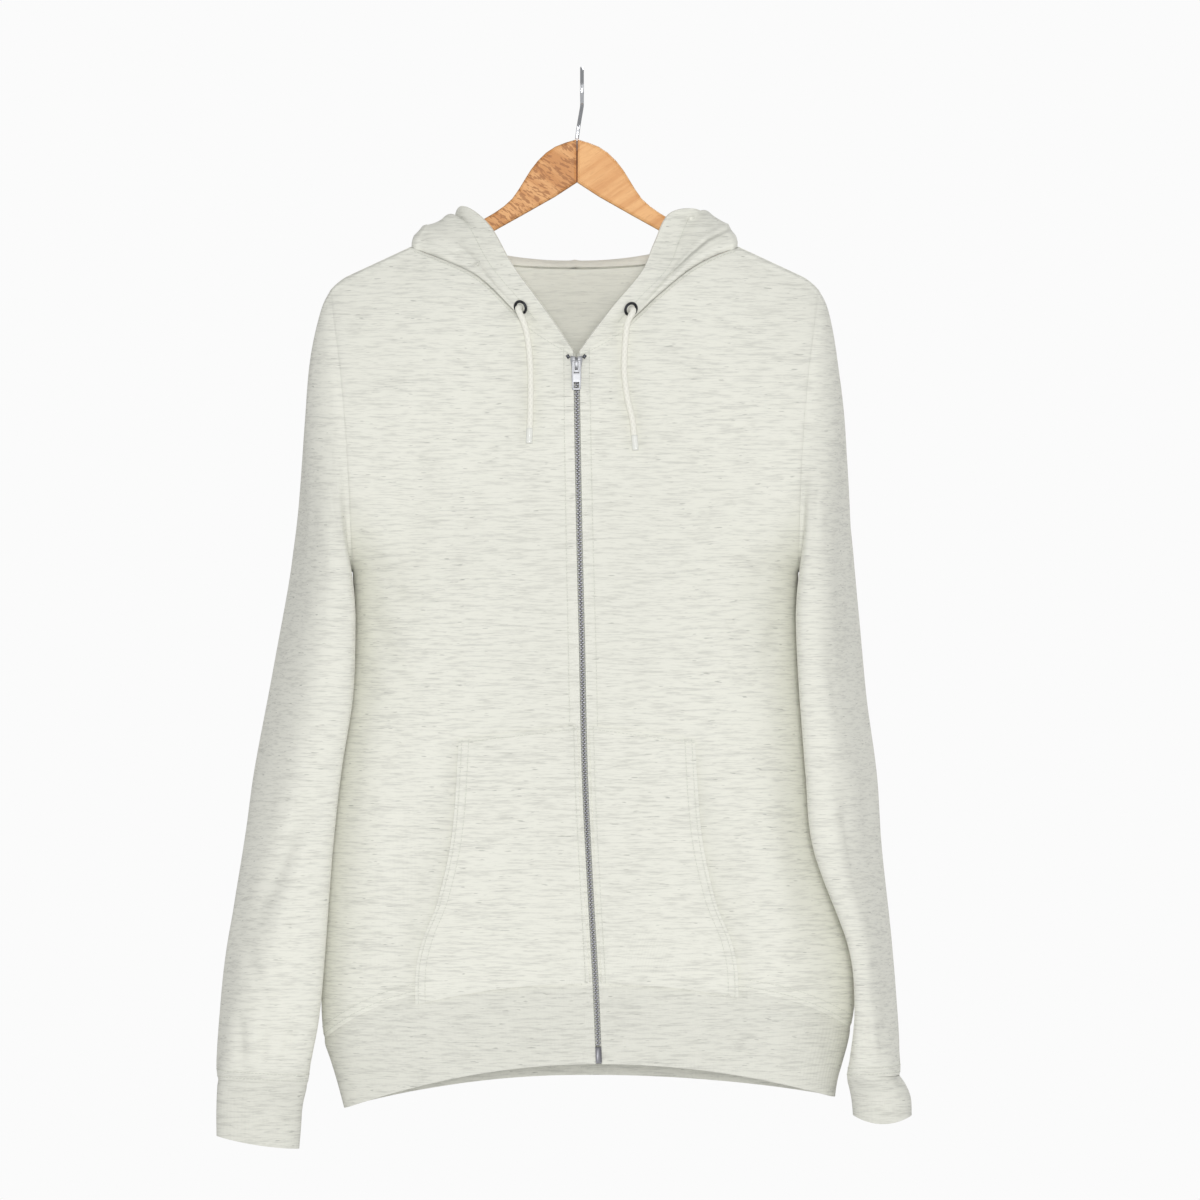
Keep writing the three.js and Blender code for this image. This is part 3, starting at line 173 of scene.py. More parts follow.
class Finish:
    def __init__(self, name, roughness=0.9, metallic=0.0):
        self.material = bpy.data.materials.new(name)
        self.material.use_nodes = True
        self.tree = self.material.node_tree
        self.shader = self.tree.nodes["Principled BSDF"]
        self.shader.inputs["Roughness"].default_value = roughness
        self.shader.inputs["Metallic"].default_value = metallic

    def node(self, kind, settings=None, sockets=None, out=0):
        made = self.tree.nodes.new(kind)
        for name, value in (settings or {}).items():
            setattr(made, name, value)
        for key, value in (sockets or {}).items():
            if isinstance(value, Wire):
                self.tree.links.new(value.socket, made.inputs[key])
            else:
                made.inputs[key].default_value = value
        return Wire(self, made.outputs[out])

    def place(self):
        return self.node("ShaderNodeTexCoord", out="Object")

    def cut(self):
        # the cloth's own cut: across it and down it
        split = self.node("ShaderNodeSeparateXYZ", {}, {0: self.node("ShaderNodeUVMap", {"uv_map": "cut"})})
        return split, Wire(self, split.socket.node.outputs[1])

    def scaled(self, vector, scale, shift=(0, 0, 0)):
        return self.node("ShaderNodeMapping", {}, {"Vector": vector, "Location": shift, "Scale": scale})

    def noise(self, vector, scale=1.0, detail=2.0, roughness=0.5):
        return self.node("ShaderNodeTexNoise", {"noise_dimensions": "3D"},
                         {"Vector": vector, "Scale": scale, "Detail": detail, "Roughness": roughness})

    def step(self, value, low, high):
        return self.node("ShaderNodeMapRange", {"interpolation_type": "SMOOTHSTEP"},
                         {"Value": value, "From Min": low, "From Max": high})

    def mix(self, factor, first, second):
        first = first if isinstance(first, Wire) else (*first, 1)
        second = second if isinstance(second, Wire) else (*second, 1)
        return self.node("ShaderNodeMix", {"data_type": "RGBA"}, {0: factor, 6: first, 7: second}, 2)

    def feed(self, name, value):
        if isinstance(value, Wire):
            self.tree.links.new(value.socket, self.shader.inputs[name])
        else:
            self.shader.inputs[name].default_value = value

    def dress(self, colour, height, distance, strength, **others):
        # colour and bump, then any other socket by its name
        self.feed("Base Color", colour)
        bump = self.node("ShaderNodeBump", {}, {"Strength": strength, "Distance": distance, "Height": height})
        self.feed("Normal", bump)
        for name, value in others.items():
            self.feed(name.replace("_", " "), value)
        return self.material


def linear(red, green, blue):
    return tuple(c / 12.92 if c <= 0.04045 else ((c + 0.055) / 1.055) ** 2.4
                 for c in (red / 255, green / 255, blue / 255))


# Oatmeal heather: a pale ground, soft grey streaks along each course and a few short dark fibres
heatherLook = {
    "ground": linear(238, 238, 228), "cloud": linear(231, 231, 221), "streak": linear(210, 210, 201),
    # on the next line, the darkest colour is painted shade for the hood's folds and neck seam
    "fleck": linear(140, 140, 134), "paintedShade": linear(96, 96, 90),
    "wide": (34, 34, 430), "narrow": (85, 85, 900), "dash": (95, 95, 800),
    "streakFrom": 0.44, "streakTo": 0.66, "fleckFrom": 0.69, "fleckTo": 0.78, "wander": 0.004,
    "wale": 0.0011, "course": 0.0009, "ribPitch": 0.0034,
}


def heather(name, tint=1.0, ribbed=False, inside=False):
    look = heatherLook
    finish = Finish(name, roughness=0.95)
    place = finish.place()
    sway = finish.noise(place, scale=9, detail=1)
    drift = finish.node("ShaderNodeCombineXYZ", {}, {2: (sway - 0.5) * look["wander"]})
    place = finish.node("ShaderNodeVectorMath", {"operation": "ADD"}, {0: place, 1: drift})
    wide = finish.noise(finish.scaled(place, look["wide"]), detail=3, roughness=0.6)
    narrow = finish.noise(finish.scaled(place, look["narrow"], (3.1, 1.7, 0.4)), detail=2.5, roughness=0.65)
    dash = finish.noise(finish.scaled(place, look["dash"], (8.3, 2.2, 5.9)), detail=1.0, roughness=0.5)
    patch = finish.noise(finish.scaled(place, (3, 3, 5), (1.3, 0.2, 7.7)), detail=2)
    streaks = finish.step(wide * 0.5 + narrow * 0.5, look["streakFrom"], look["streakTo"])
    flecks = finish.step(dash, look["fleckFrom"], look["fleckTo"])
    clouds = finish.step(patch, 0.35, 0.75)
    ground, cloud, streak = (tuple(c * tint for c in look[name]) for name in ("ground", "cloud", "streak"))
    colour = finish.mix(clouds * 0.5, ground, cloud)
    colour = finish.mix(streaks * (0.5 if inside else 0.85), colour, streak)
    colour = finish.mix(flecks * (0.25 if inside else 0.5), colour, look["fleck"])
    # painted shade: a layer on the mesh darkens the colour along the hood's folds and neck seam
    paintedShade = finish.node("ShaderNodeAttribute", {"attribute_name": "paintedShade"}, out=2)
    colour = finish.mix(paintedShade * 0.75, colour, look["paintedShade"])
    across, down = finish.cut()
    fuzz = finish.noise(place, scale=700, detail=3, roughness=0.7)
    if inside:
        loops = finish.noise(place, scale=320, detail=4, roughness=0.7)
        height = loops * 0.4 + fuzz * 0.3
    else:
        column = (across * (2 * math.pi / look["wale"])).cosine()
        lean = column * 0.18
        row = ((down / look["course"] + lean) * (2 * math.pi)).cosine()
        height = column * 0.2 + row * 0.12 + fuzz * 0.55
    if ribbed:
        rib = (across * (2 * math.pi / look["ribPitch"])).cosine()
        height = height * 0.7 + rib * 0.2
    return finish.dress(colour, height, 0.00035, 0.6, Sheen_Weight=0.12, Sheen_Roughness=0.6, Specular_IOR_Level=0.2)


fleece = heather("fleece")
# painted light: the insides of the body, hood and band are made lighter than the cloth's own colour, where little light
# reaches them
fleeceInsidePaintedLighter = heather("fleece inside painted lighter", tint=1.15, inside=True)
hoodInsidePaintedLighter = heather("hood inside painted lighter", tint=1.04, inside=True)
bandKnit = heather("band knit", tint=0.9, ribbed=True)
bandInsidePaintedLighter = heather("band inside painted lighter", tint=1.02, ribbed=True)


def plainThread(name, colour, roughness):
    finish = Finish(name, roughness=roughness)
    shade = finish.noise(finish.place(), scale=900, detail=2)
    return finish.dress(finish.mix(shade, colour, tuple(c * 0.8 for c in colour)), shade, 0.0002, 0.5)


thread = plainThread("sewing thread", linear(224, 226, 216), 0.8)
print("cloth materials")


# how the cloth was cut: tables in millimetres
cutSet = {
    "fleece": 2.2, "band": 2.8, "pocket": 2.0,
    "middle": -2.0, "neckHalf": 141.0, "neckTop": -152.0, "shoulderSlope": 0.466,
    "tipRoundFrom": 195.0, "tipRound": 0.022, "tipHeight": -188.0,
    "topRadius": 10.0, "frontDepth": 58.0, "backDepth": 54.0, "depthLength": 95.0,
    "sideExponent": 2.6, "hemDepthShare": 0.9, "taperFrom": -600.0, "foldsFrom": 60.0,
    "armholeWide": -330.0, "underarm": -432.0,
    "zipTop": -243.0, "chainHalf": 2.6, "seamGap": 0.1,
    "frontSeam": -786.0, "backSeam": -799.0, "frontHem": -853.0, "backHem": -866.0,
}
across = np.array([0, 0.09, 0.18, 0.27, 0.365, 0.46, 0.55, 0.64, 0.75, 0.85, 0.925, 0.975, 1])
neckColumns = 7
down = np.array([0, 0.005, 0.014, 0.03, 0.07, 0.13, 0.2, 0.27, 0.33, 0.355, 0.369, 0.377,
                 0.43, 0.51, 0.6, 0.69, 0.78, 0.86, 0.93, 1])
armholeRows = 11
neckShare = across[neckColumns]
underarmShare = down[armholeRows]
sideSign = {"left": -1, "right": 1}

edgeTable = {  # seen from the front: armhole above the underarm, side seam below it
    "z": (-180, -215, -260, -330, -400, -432, -465, -510, -560, -628, -665, -714, -763, -800, -834, -851, -869, -895),
    "left": (-213, -209, -203, -197, -193.5, -193, -191.5, -193.5, -200.5, -210.5, -214.5, -217.5, -219.5, -220,
             -217.5, -212, -206.5, -199.5),
    "right": (209, 205, 199, 193, 190.5, 190.5, 189.5, 192, 196.5, 202, 207.5, 223, 238, 239, 233.5, 229, 224, 220.5),
}
zipTable = {
    "z": (-243, -335, -421, -490, -576, -628, -697, -757, -808, -870),
    "x": (-0.5, 0.9, 2.6, 4.3, 6, 7.7, 11.2, 14.6, 17.2, 19.5),
}
neckTable = {
    "left": {"x": (3.4, 27, 49, 75, 90, 113, 143), "z": (-243, -229, -213, -187, -175, -164, -152)},
    "right": {"x": (2.4, 27, 48, 71, 97, 118, 139), "z": (-243, -230, -215, -193.5, -172, -160, -152)},
}
riseTable = {
    "left": {"frontSeam": 0.00098, "frontHem": 0.00098},
    "right": {"frontSeam": 0.00066, "frontHem": 0.0006},
}
# folds: x and z where each starts and ends, depth and half width; a minus sign is a valley
frontFolds = (
    (-120, -230, -165, -520, -4, 24), (-60, -300, -95, -540, 3, 30), (-165, -560, -175, -800, 5, 22),
    (115, -230, 160, -500, -4, 24), (70, -320, 100, -560, 3, 30), (160, -580, 185, -800, 5, 22),
    (-186, -400, -120, -500, -2.2, 9), (-188, -425, -140, -560, -2.4, 10), (182, -400, 125, -480, -2, 9),
    (184, -425, 150, -560, -2.4, 10), (-150, -250, -178, -420, 2, 12), (148, -250, 174, -420, 2, 12),
    (-30, -560, -60, -780, 2, 16), (50, -560, 78, -780, 2, 16), (-120, -640, -150, -790, -2.5, 10),
    (120, -640, 150, -790, -2.5, 10),
)
backFolds = (
    (-100, -480, -130, -790, 6, 28), (0, -500, 10, -790, -4, 34), (105, -480, 140, -790, 6, 28),
    (-150, -260, -165, -460, -4, 20), (148, -260, 162, -460, -4, 20),
    (-182, -410, -110, -520, -2.4, 10), (180, -410, 110, -520, -2.4, 10),
    (-60, -600, -70, -800, -3, 14), (62, -600, 75, -800, -3, 14), (-186, -430, -150, -600, -2, 11),
    (184, -430, 150, -600, -2, 11),
)


def through(knots, values, at):
    knots, values, at = (np.asarray(each, float) for each in (knots, values, at))
    last = len(knots) - 1
    i = np.clip(np.searchsorted(knots, at, side="left") - 1, 0, last - 1)
    before = np.maximum(np.arange(last + 1) - 1, 0)
    after = np.minimum(np.arange(last + 1) + 1, last)
    gap = (knots[after] - knots[before])
    slopes = (values[after] - values[before]) / (gap if values.ndim == 1 else gap[:, None])
    span = knots[i + 1] - knots[i]
    t = np.clip((at - knots[i]) / span, 0, 1)
    if values.ndim > 1:
        t, span = t[..., None], span[..., None]
    t2, t3 = t * t, t * t * t
    return ((2 * t3 - 3 * t2 + 1) * values[i] + (t3 - 2 * t2 + t) * span * slopes[i]
            + (3 * t2 - 2 * t3) * values[i + 1] + (t3 - t2) * span * slopes[i + 1])


def lookUp(table, by, column, at):
    order = np.argsort(table[by])
    return through(np.asarray(table[by], float)[order], np.asarray(table[column], float)[order], at)


def lerp(a, b, t):
    return a + (b - a) * t


def alongPoints(points, share):
    points = np.asarray(points, float)
    knots = runAlong(points)
    return through(knots, points, np.asarray(share, float) * knots[-1])


def refine(shares, steps):
    # splits each stretch of a row of shares into whole parts no longer than its step
    out = []
    for a, b, step in zip(shares[:-1], shares[1:], steps):
        count = max(1, int(math.ceil((b - a) / step - 1e-9)))
        out.extend(lerp(a, b, k / count) for k in range(count))
    return np.array([*out, shares[-1]])


def shoulderHeight(x):
    away = np.abs(x - cutSet["middle"])
    rounded = cutSet["tipRound"] * np.maximum(0, away - cutSet["tipRoundFrom"]) ** 2
    return cutSet["neckTop"] - cutSet["shoulderSlope"] * (away - cutSet["neckHalf"]) - rounded


def edgeAt(z, side):
    return lookUp(edgeTable, "z", side, z)


def zipAt(z):
    return lookUp(zipTable, "z", "x", z)


def sideClosing(z):
    low = np.clip((cutSet["armholeWide"] - z) / (cutSet["armholeWide"] - cutSet["underarm"]), 0, 1)
    return 1 - (1 - low * low) ** (cutSet["sideExponent"] / 2)


def foldsAt(folds, x, z):
    total = np.zeros(np.broadcast(x, z).shape)
    for x0, z0, x1, z1, depth, half in folds:
        t = (z - z0) / (z1 - z0)
        inside = np.clip(t, 0, 1)
        off = (x - lerp(x0, x1, inside)) / half
        total = total + np.where((t > 0) & (t < 1), depth * np.sin(np.pi * inside) ** 1.5 * np.exp(-off * off * 2), 0)
    return total


def softWaves(x, z, seed, height=1.0):
    # the slight unevenness of hanging cloth: a few crossed waves of different lengths
    rng = np.random.default_rng(seed)
    total = 0
    for length in (150, 115, 84, 62, 47, 36):
        turn, start = rng.uniform(-0.9, 0.9), rng.uniform(0, 6.28)
        across = x * np.cos(turn) + z * 0.45 * np.sin(turn)
        total = total + (length / 150) ** 1.1 * np.sin(2 * np.pi * across / length + start)
    return total * 0.55 * height


def bodyDepth(x, z, isFront):
    drop = np.maximum(0, shoulderHeight(x) - z)
    near = np.minimum(drop, cutSet["topRadius"]) / cutSet["topRadius"]
    rounded = cutSet["topRadius"] * (1 - (1 - near) ** 3) ** (1 / 3)
    full = cutSet["frontDepth"] if isFront else cutSet["backDepth"]
    opening = full * (1 - np.exp(-np.maximum(0, drop - cutSet["topRadius"] * 0.6) / cutSet["depthLength"]))
    towardsHem = np.clip((z - cutSet["taperFrom"]) / (cutSet["frontHem"] - cutSet["taperFrom"]), 0, 1)
    left, right = edgeAt(z, "left"), edgeAt(z, "right")
    off = np.clip(np.abs(2 * x - left - right) / (right - left), 0, 1)
    sides = np.maximum(0, 1 - sideClosing(z) * off ** cutSet["sideExponent"]) ** (1 / cutSet["sideExponent"])
    folds = foldsAt(frontFolds if isFront else backFolds, x, z) + softWaves(x, z, 3 if isFront else 8)
    folds = folds * (1 - off ** 6) * np.clip(drop / cutSet["foldsFrom"], 0, 1)
    return (rounded + opening) * lerp(1, cutSet["hemDepthShare"], towardsHem) * sides + folds


def bodyPoint(x, z, isFront):
    x, z = np.broadcast_arrays(np.asarray(x, float), np.asarray(z, float))
    return np.stack([x, (-1 if isFront else 1) * bodyDepth(x, z, isFront), z], axis=-1)


def overFront(x, z, height):
    step = 2.0
    alongX = bodyPoint(x + step, z, True) - bodyPoint(x - step, z, True)
    alongZ = bodyPoint(x, z + step, True) - bodyPoint(x, z - step, True)
    normal = unit(np.cross(alongX, alongZ))
    normal *= -np.sign(normal[..., 1:2])
    return bodyPoint(x, z, True) + normal * np.asarray(height, float)[..., None]


def panelEdges(side, isFront):
    sign = sideSign[side]
    bend = riseTable[side]
    middle = cutSet["middle"]
    neckPoint = middle + sign * cutSet["neckHalf"]
    tip = edgeAt(cutSet["tipHeight"], side)
    seamHeight = cutSet["frontSeam"] if isFront else cutSet["backSeam"]

    def centre(z):
        if isFront:
            return zipAt(z) + sign * (cutSet["chainHalf"] + cutSet["seamGap"])
        return middle + (zipAt(z) + 0.5) * 0.5

    sideX = edgeAt(cutSet["frontSeam"] - 46 * bend["frontSeam"] / riseTable["left"]["frontSeam"], side)
    sideZ = cutSet["frontSeam"] - bend["frontSeam"] * sideX * sideX
    startX = centre(cutSet["zipTop"]) if isFront else middle
    centreBottom = centre(seamHeight)

    def top(s):
        s = np.atleast_1d(np.asarray(s, float))
        onNeck = s <= neckShare
        x = np.where(onNeck, lerp(startX, neckPoint, s / neckShare),
                     lerp(neckPoint, tip, (s - neckShare) / (1 - neckShare)))
        if isFront:
            neckZ = lookUp(neckTable[side], "x", "z", sign * x)
        else:
            neckZ = cutSet["neckTop"] - 18 * (1 - (np.abs(x - middle) / cutSet["neckHalf"]) ** 2.2)
        return np.stack([x, np.where(onNeck, neckZ, shoulderHeight(x))], axis=-1)

    def bottom(s):
        s = np.atleast_1d(np.asarray(s, float))
        x = lerp(centreBottom, sideX, s)
        middleX = centreBottom if isFront else middle
        share = ((x - middleX) / (sideX - middleX)) ** 2
        rest = sideZ - seamHeight
        z = seamHeight - bend["frontSeam"] * x * x * share if isFront else seamHeight + rest * share
        return np.stack([x, z], axis=-1)

    def inner(t):
        t = np.atleast_1d(np.asarray(t, float))
        z = lerp(top(0)[0, 1], bottom(0)[0, 1], t)
        return np.stack([centre(z), z], axis=-1)

    def outer(t):
        t = np.atleast_1d(np.asarray(t, float))
        upper = lerp(top(1)[0, 1], cutSet["underarm"], t / underarmShare)
        lower = lerp(cutSet["underarm"], bottom(1)[0, 1], (t - underarmShare) / (1 - underarmShare))
        z = np.where(t <= underarmShare, upper, lower)
        return np.stack([np.where(t == 0, tip, edgeAt(z, side)), z], axis=-1)

    return top, bottom, inner, outer


def halfPanel(side, isFront, s, t):
    top, bottom, inner, outer = panelEdges(side, isFront)
    shareS, shareT = s[:, None, None], t[None, :, None]
    blend = lerp(top(s)[:, None], bottom(s)[:, None], shareT) + lerp(inner(t)[None], outer(t)[None], shareS)
    blend -= lerp(lerp(top(0)[0], top(1)[0], shareS), lerp(bottom(0)[0], bottom(1)[0], shareS), shareT)
    points = bodyPoint(blend[..., 0], blend[..., 1], isFront)
    onShoulder = (t == 0)[None, :] & (s > neckShare - 1e-9)[:, None]
    onSide = (s == 1)[:, None] & (t >= underarmShare - 1e-9)[None, :]
    points[..., 1] = np.where(onShoulder | onSide, 0, points[..., 1])
    return points


def halfBand(side, isFront, s, v, panel):
    bend = riseTable[side]
    hem = cutSet["frontHem"] if isFront else cutSet["backHem"]
    sideX = edgeAt(cutSet["frontHem"] - 38 * bend["frontHem"] / riseTable["left"]["frontHem"], side)
    sideZ = cutSet["frontHem"] - bend["frontHem"] * sideX * sideX
    gap = cutSet["chainHalf"] + cutSet["seamGap"]
    startX = zipAt(hem) + sideSign[side] * gap if isFront else cutSet["middle"] + 10
    seamLine = panel[:, -1]
    last = seamLine[-1]
    shareS, shareV = s[:, None], v[None, :]
    hemX, hemZ = lerp(startX, sideX, shareS), hem + (sideZ - hem) * shareS ** 2
    z = lerp(seamLine[:, None, 2], hemZ, shareV)
    zAtSide = lerp(last[2], sideZ, v)
    bulge = edgeAt(zAtSide, side) - lerp(last[0], sideX, v)
    x = lerp(seamLine[:, None, 0], hemX, shareV) + bulge[None, :] * shareS ** 2
    points = bodyPoint(x, z, isFront)
    points[:, 0] = seamLine
    points[-1, 1:, 0] = edgeAt(zAtSide, side)[1:]
    points[-1, 1:, 1] = 0
    points[-1, 1:, 2] = zAtSide[1:]
    return points


print("cut tables")

# sleeves, cuffs and hood: rings and seam lines, in millimetres
sleeveTable = {
    "left": {
        "outX": (-211, -219, -228, -234, -239, -245, -253, -266, -279, -288, -301, -307.5, -309.5, -309),
        "outZ": (-188, -205, -243, -292, -350, -410, -464, -536, -606, -670, -750, -810, -850, -868),
        "inX": (-193, -195, -195, -193.6, -191.8, -190.4, -189.7, -192.3, -202.8, -209.8, -215.5, -220.3, -226.5, -231),
        "inZ": (-432, -430.5, -433.5, -440, -449, -460, -480, -540, -606, -670, -750, -810, -848, -872),
        "y": (0, 0, 0, 0, -1, -2, -3, -5, -8, -11, -13, -14, -14, -14),
        "deep": (57, 60, 63, 66, 68, 68, 65, 58, 52, 47, 43, 40, 36, 27),
        "lean": (0, 0, 2, 5, 10, 14, 17, 19, 19, 18, 16, 12, 7, 3),
        "round": (2, 2, 2.1, 2.4, 2.8, 3.1, 3.3, 3.3, 3.3, 3.3, 3.3, 3.2, 2.9, 2.5),
        "own": (0, 0.12, 0.3, 0.5, 0.75, 1, 1, 1, 1, 1, 1, 1, 1, 1),
    },
    "right": {
        "outX": (207, 215, 223, 229.5, 234, 238.5, 243, 249.5, 258.5, 263, 272, 276.5, 278.5, 278),
        "outZ": (-188, -205, -243, -292, -350, -410, -464, -536, -606, -670, -750, -805, -845, -864),
        "inX": (190.5, 192.2, 192.6, 191.4, 190, 188.7, 188.1, 190.8, 196.3, 203.3, 231.9, 236.9, 234, 231),
        "inZ": (-432, -430.5, -433.5, -440, -449, -460, -480, -540, -606, -670, -750, -805, -845, -866),
        "y": (0, 0, 0, 0, -1, -2, -3, -6, -10, -14, -17, -18, -18, -18),
        "deep": (57, 60, 63, 66, 68, 68, 66, 61, 57, 54, 52, 49, 42, 33),
        "lean": (0, 0, 2, 5, 9, 13, 15, 16, 17, 17, 12, 11, 8, 4),
        "round": (2, 2, 2.1, 2.4, 2.8, 3.1, 3.3, 3.3, 3.3, 3.3, 3.3, 3.2, 2.9, 2.5),
        "own": (0, 0.12, 0.3, 0.5, 0.75, 1, 1, 1, 1, 1, 1, 1, 1, 1),
    },
}
cuffTable = {
    "left": {
        "outX": (-309.5, -309.8, -309.6), "outZ": (-884, -900, -916), "inX": (-235.5, -237, -238.5),
        "inZ": (-890, -909, -927), "y": (-14, -14, -14), "deep": (22, 20, 19), "lean": (0, 0, 0),
        "round": (2.2, 2.2, 2.2), "sag": 2,
    },
    "right": {
        "outX": (284, 287, 287.5), "outZ": (-875, -885, -898), "inX": (234.5, 236, 237),
        "inZ": (-878, -887, -898), "y": (-18, -18, -18), "deep": (28, 26, 25), "lean": (0, 0, 0),
        "round": (2.2, 2.2, 2.2), "sag": 7,
    },
}
sleeveFolds = {  # x and z of each end as the front shows it, depth, half width
    "left": (
        (-203, -560, -292, -772, -5, 15), (-250, -300, -214, -470, -2.5, 14), (-226, -430, -262, -560, 2.5, 16),
        (-228, -650, -272, -800, 3, 16), (-262, -560, -288, -700, 2, 16), (-240, -790, -252, -868, -3, 7),
        (-266, -800, -272, -868, -2.5, 7), (-290, -800, -286, -868, -3, 7), (-300, -700, -262, -820, -2, 10),
    ),
    "right": (
        (206, -440, 240, -600, -3, 14), (214, -560, 250, -740, -3, 12), (232, -420, 246, -560, 2, 16),
        (246, -640, 262, -790, 2.5, 12), (248, -790, 244, -862, -3, 7), (266, -790, 262, -862, -3, 7),
        (236, -300, 206, -450, -2.5, 13),
    ),
}
hoodTable = {
    "rim": {
        "left": ((-30, -57, -204), (-56, -43, -168), (-76, -27, -134), (-98, -2, -117), (-105, 26, -127),
                 (-94, 55, -158), (-64, 80, -196), (-30, 95, -219)),
        "right": ((30, -57, -206), (56, -43, -174), (67, -28, -149), (80, -16, -124), (103, 0, -119.5),
                  (113, 28, -132), (100, 55, -160), (66, 80, -198), (28, 95, -219)),
    },
    "backSeam": ((42.5, -167), (46.5, -165), (51, -168.5), (56, -186), (64, -230), (71, -300), (76, -380), (81, -435)),
    "crown": (90, -452), "topSeam": ((107, -300), (108, -380), (102, -432)), "forehead": (100, -226),
    "rows": np.array([0, 0.015, 0.03, 0.055, 0.1, 0.17, 0.27, 0.38, 0.5, 0.62, 0.74, 0.87, 1]),
    "bulge": 330.0, "fullness": 0.35, "finer": 2, "rampRows": 4, "shadeReach": 1.4, "seamShade": 0.55,
    "stand": {"height": 18, "lean": 7, "from": 0.16, "span": 0.8, "steep": 2.2},
    "peaks": {  # height, place and reach along the neck, place and reach up from it
        "left": ((17, 0.26, 0.26, 0.38, 0.24), (9, 0.43, 0.22, 0.28, 0.22)),
        "right": ((14, 0.25, 0.25, 0.38, 0.24), (16, 0.4, 0.26, 0.32, 0.26)),
    },
    "folds": {
        "left": ((-92, -150, -122, -176, -1.6, 7), (-70, -180, -98, -128, -1.2, 9)),
        "right": ((84, -184, 116, -150, 1.8, 8), (104, -149, 132, -130, 1.6, 7)),
    },
    "creases": {  # points of the line as the front shows it, depth, how fast each side rises, darkness of the shade painted along it
        "left": ((((-122, -160), (-114.8, -164.6), (-102.5, -170), (-93.7, -171), (-84, -166)), 1.6, 1.4, 3, 0.95),),
        "right": (
            (((76, -181), (80.8, -177), (98.4, -159.4), (112.5, -147), (133.3, -135.7), (138, -134)), 1.6, 1.4, 3, 0.6),
        ),
    },
}
ringColumns = ("outX", "outZ", "inX", "inZ", "y", "deep", "lean", "round")


def ringPoints(ring, along, deep):
    halfX = (ring["outX"] - ring["inX"]) / 2
    power = ring["round"] / (ring["round"] - 1)
    narrow = (np.abs(halfX) ** power - np.abs(ring["lean"]) ** power) ** (1 / power) / np.abs(halfX)
    return np.stack([
        (ring["outX"] + ring["inX"]) / 2 + along * halfX * narrow + np.sign(halfX) * deep * ring["lean"],
        ring["y"] + deep * ring["deep"],
        (ring["outZ"] + ring["inZ"]) / 2 + along * (ring["outZ"] - ring["inZ"]) / 2,
    ], axis=-1)


def ovalShare(angle, rounding):
    along, deep = np.cos(angle), np.sin(angle)
    return np.sign(along) * np.abs(along) ** (2 / rounding), -np.sign(deep) * np.abs(deep) ** (2 / rounding)


def sleevePoints(side, front, back, t, ringAt):
    rows = int(np.argmin(np.abs(t - underarmShare)))
    loop = np.concatenate([front[-1, :rows + 1], back[-1, 1:rows][::-1]])
    turn = np.interp(t[:rows + 1], down[:armholeRows + 1], np.arange(armholeRows + 1))
    turn = np.concatenate([turn, 2 * armholeRows - turn[1:rows][::-1]])
    angle = np.pi * turn / armholeRows
    table = sleeveTable[side]
    knots = np.arange(len(table["y"]))
    ring = {name: through(knots, table[name], ringAt)[None, :] for name in ringColumns}
    own = np.clip(through(knots, table["own"], ringAt), 0, 1)[None, :]
    first = {name: float(table[name][0]) for name in ringColumns}
    alongX, alongZ = (first["outX"] - first["inX"]) / 2, (first["outZ"] - first["inZ"]) / 2
    offX = loop[:, 0] - (first["outX"] + first["inX"]) / 2
    offZ = loop[:, 2] - (first["outZ"] + first["inZ"]) / 2
    along0 = (offX * alongX + offZ * alongZ) / (alongX ** 2 + alongZ ** 2)
    deep0 = (loop[:, 1] - first["y"]) / first["deep"]
    rest = loop - ringPoints({name: np.array(value) for name, value in first.items()}, along0, deep0)
    along1, deep1 = ovalShare(angle[:, None], ring["round"])
    points = ringPoints(ring, lerp(along0[:, None], along1, own), lerp(deep0[:, None], deep1, own))
    points = points + rest[:, None] * (1 - own)[..., None]
    points[:, 0] = loop
    return points, angle


def cuffPoints(side, lastRing, angle, rowAt):
    table = cuffTable[side]
    count = len(table["y"])
    made = []
    for j in range(count):
        ring = {name: np.array(float(table[name][j])) for name in ringColumns}
        along, deep = ovalShare(angle, ring["round"])
        points = ringPoints(ring, along, deep)
        if j == count - 1:
            points[:, 2] -= table["sag"] * (1 - along ** 2) * np.where(deep < 0, 1, 0.4)
        made.append(points)
    stack = np.stack([lastRing, *made])
    rows = through(np.arange(count + 1), stack.reshape(count + 1, -1), rowAt)
    return np.moveaxis(rows.reshape(len(rowAt), -1, 3), 0, 1)


def hump(value, centre, reach):
    return np.cos(np.pi / 2 * np.clip(np.abs(value - centre) / reach, 0, 1)) ** 2


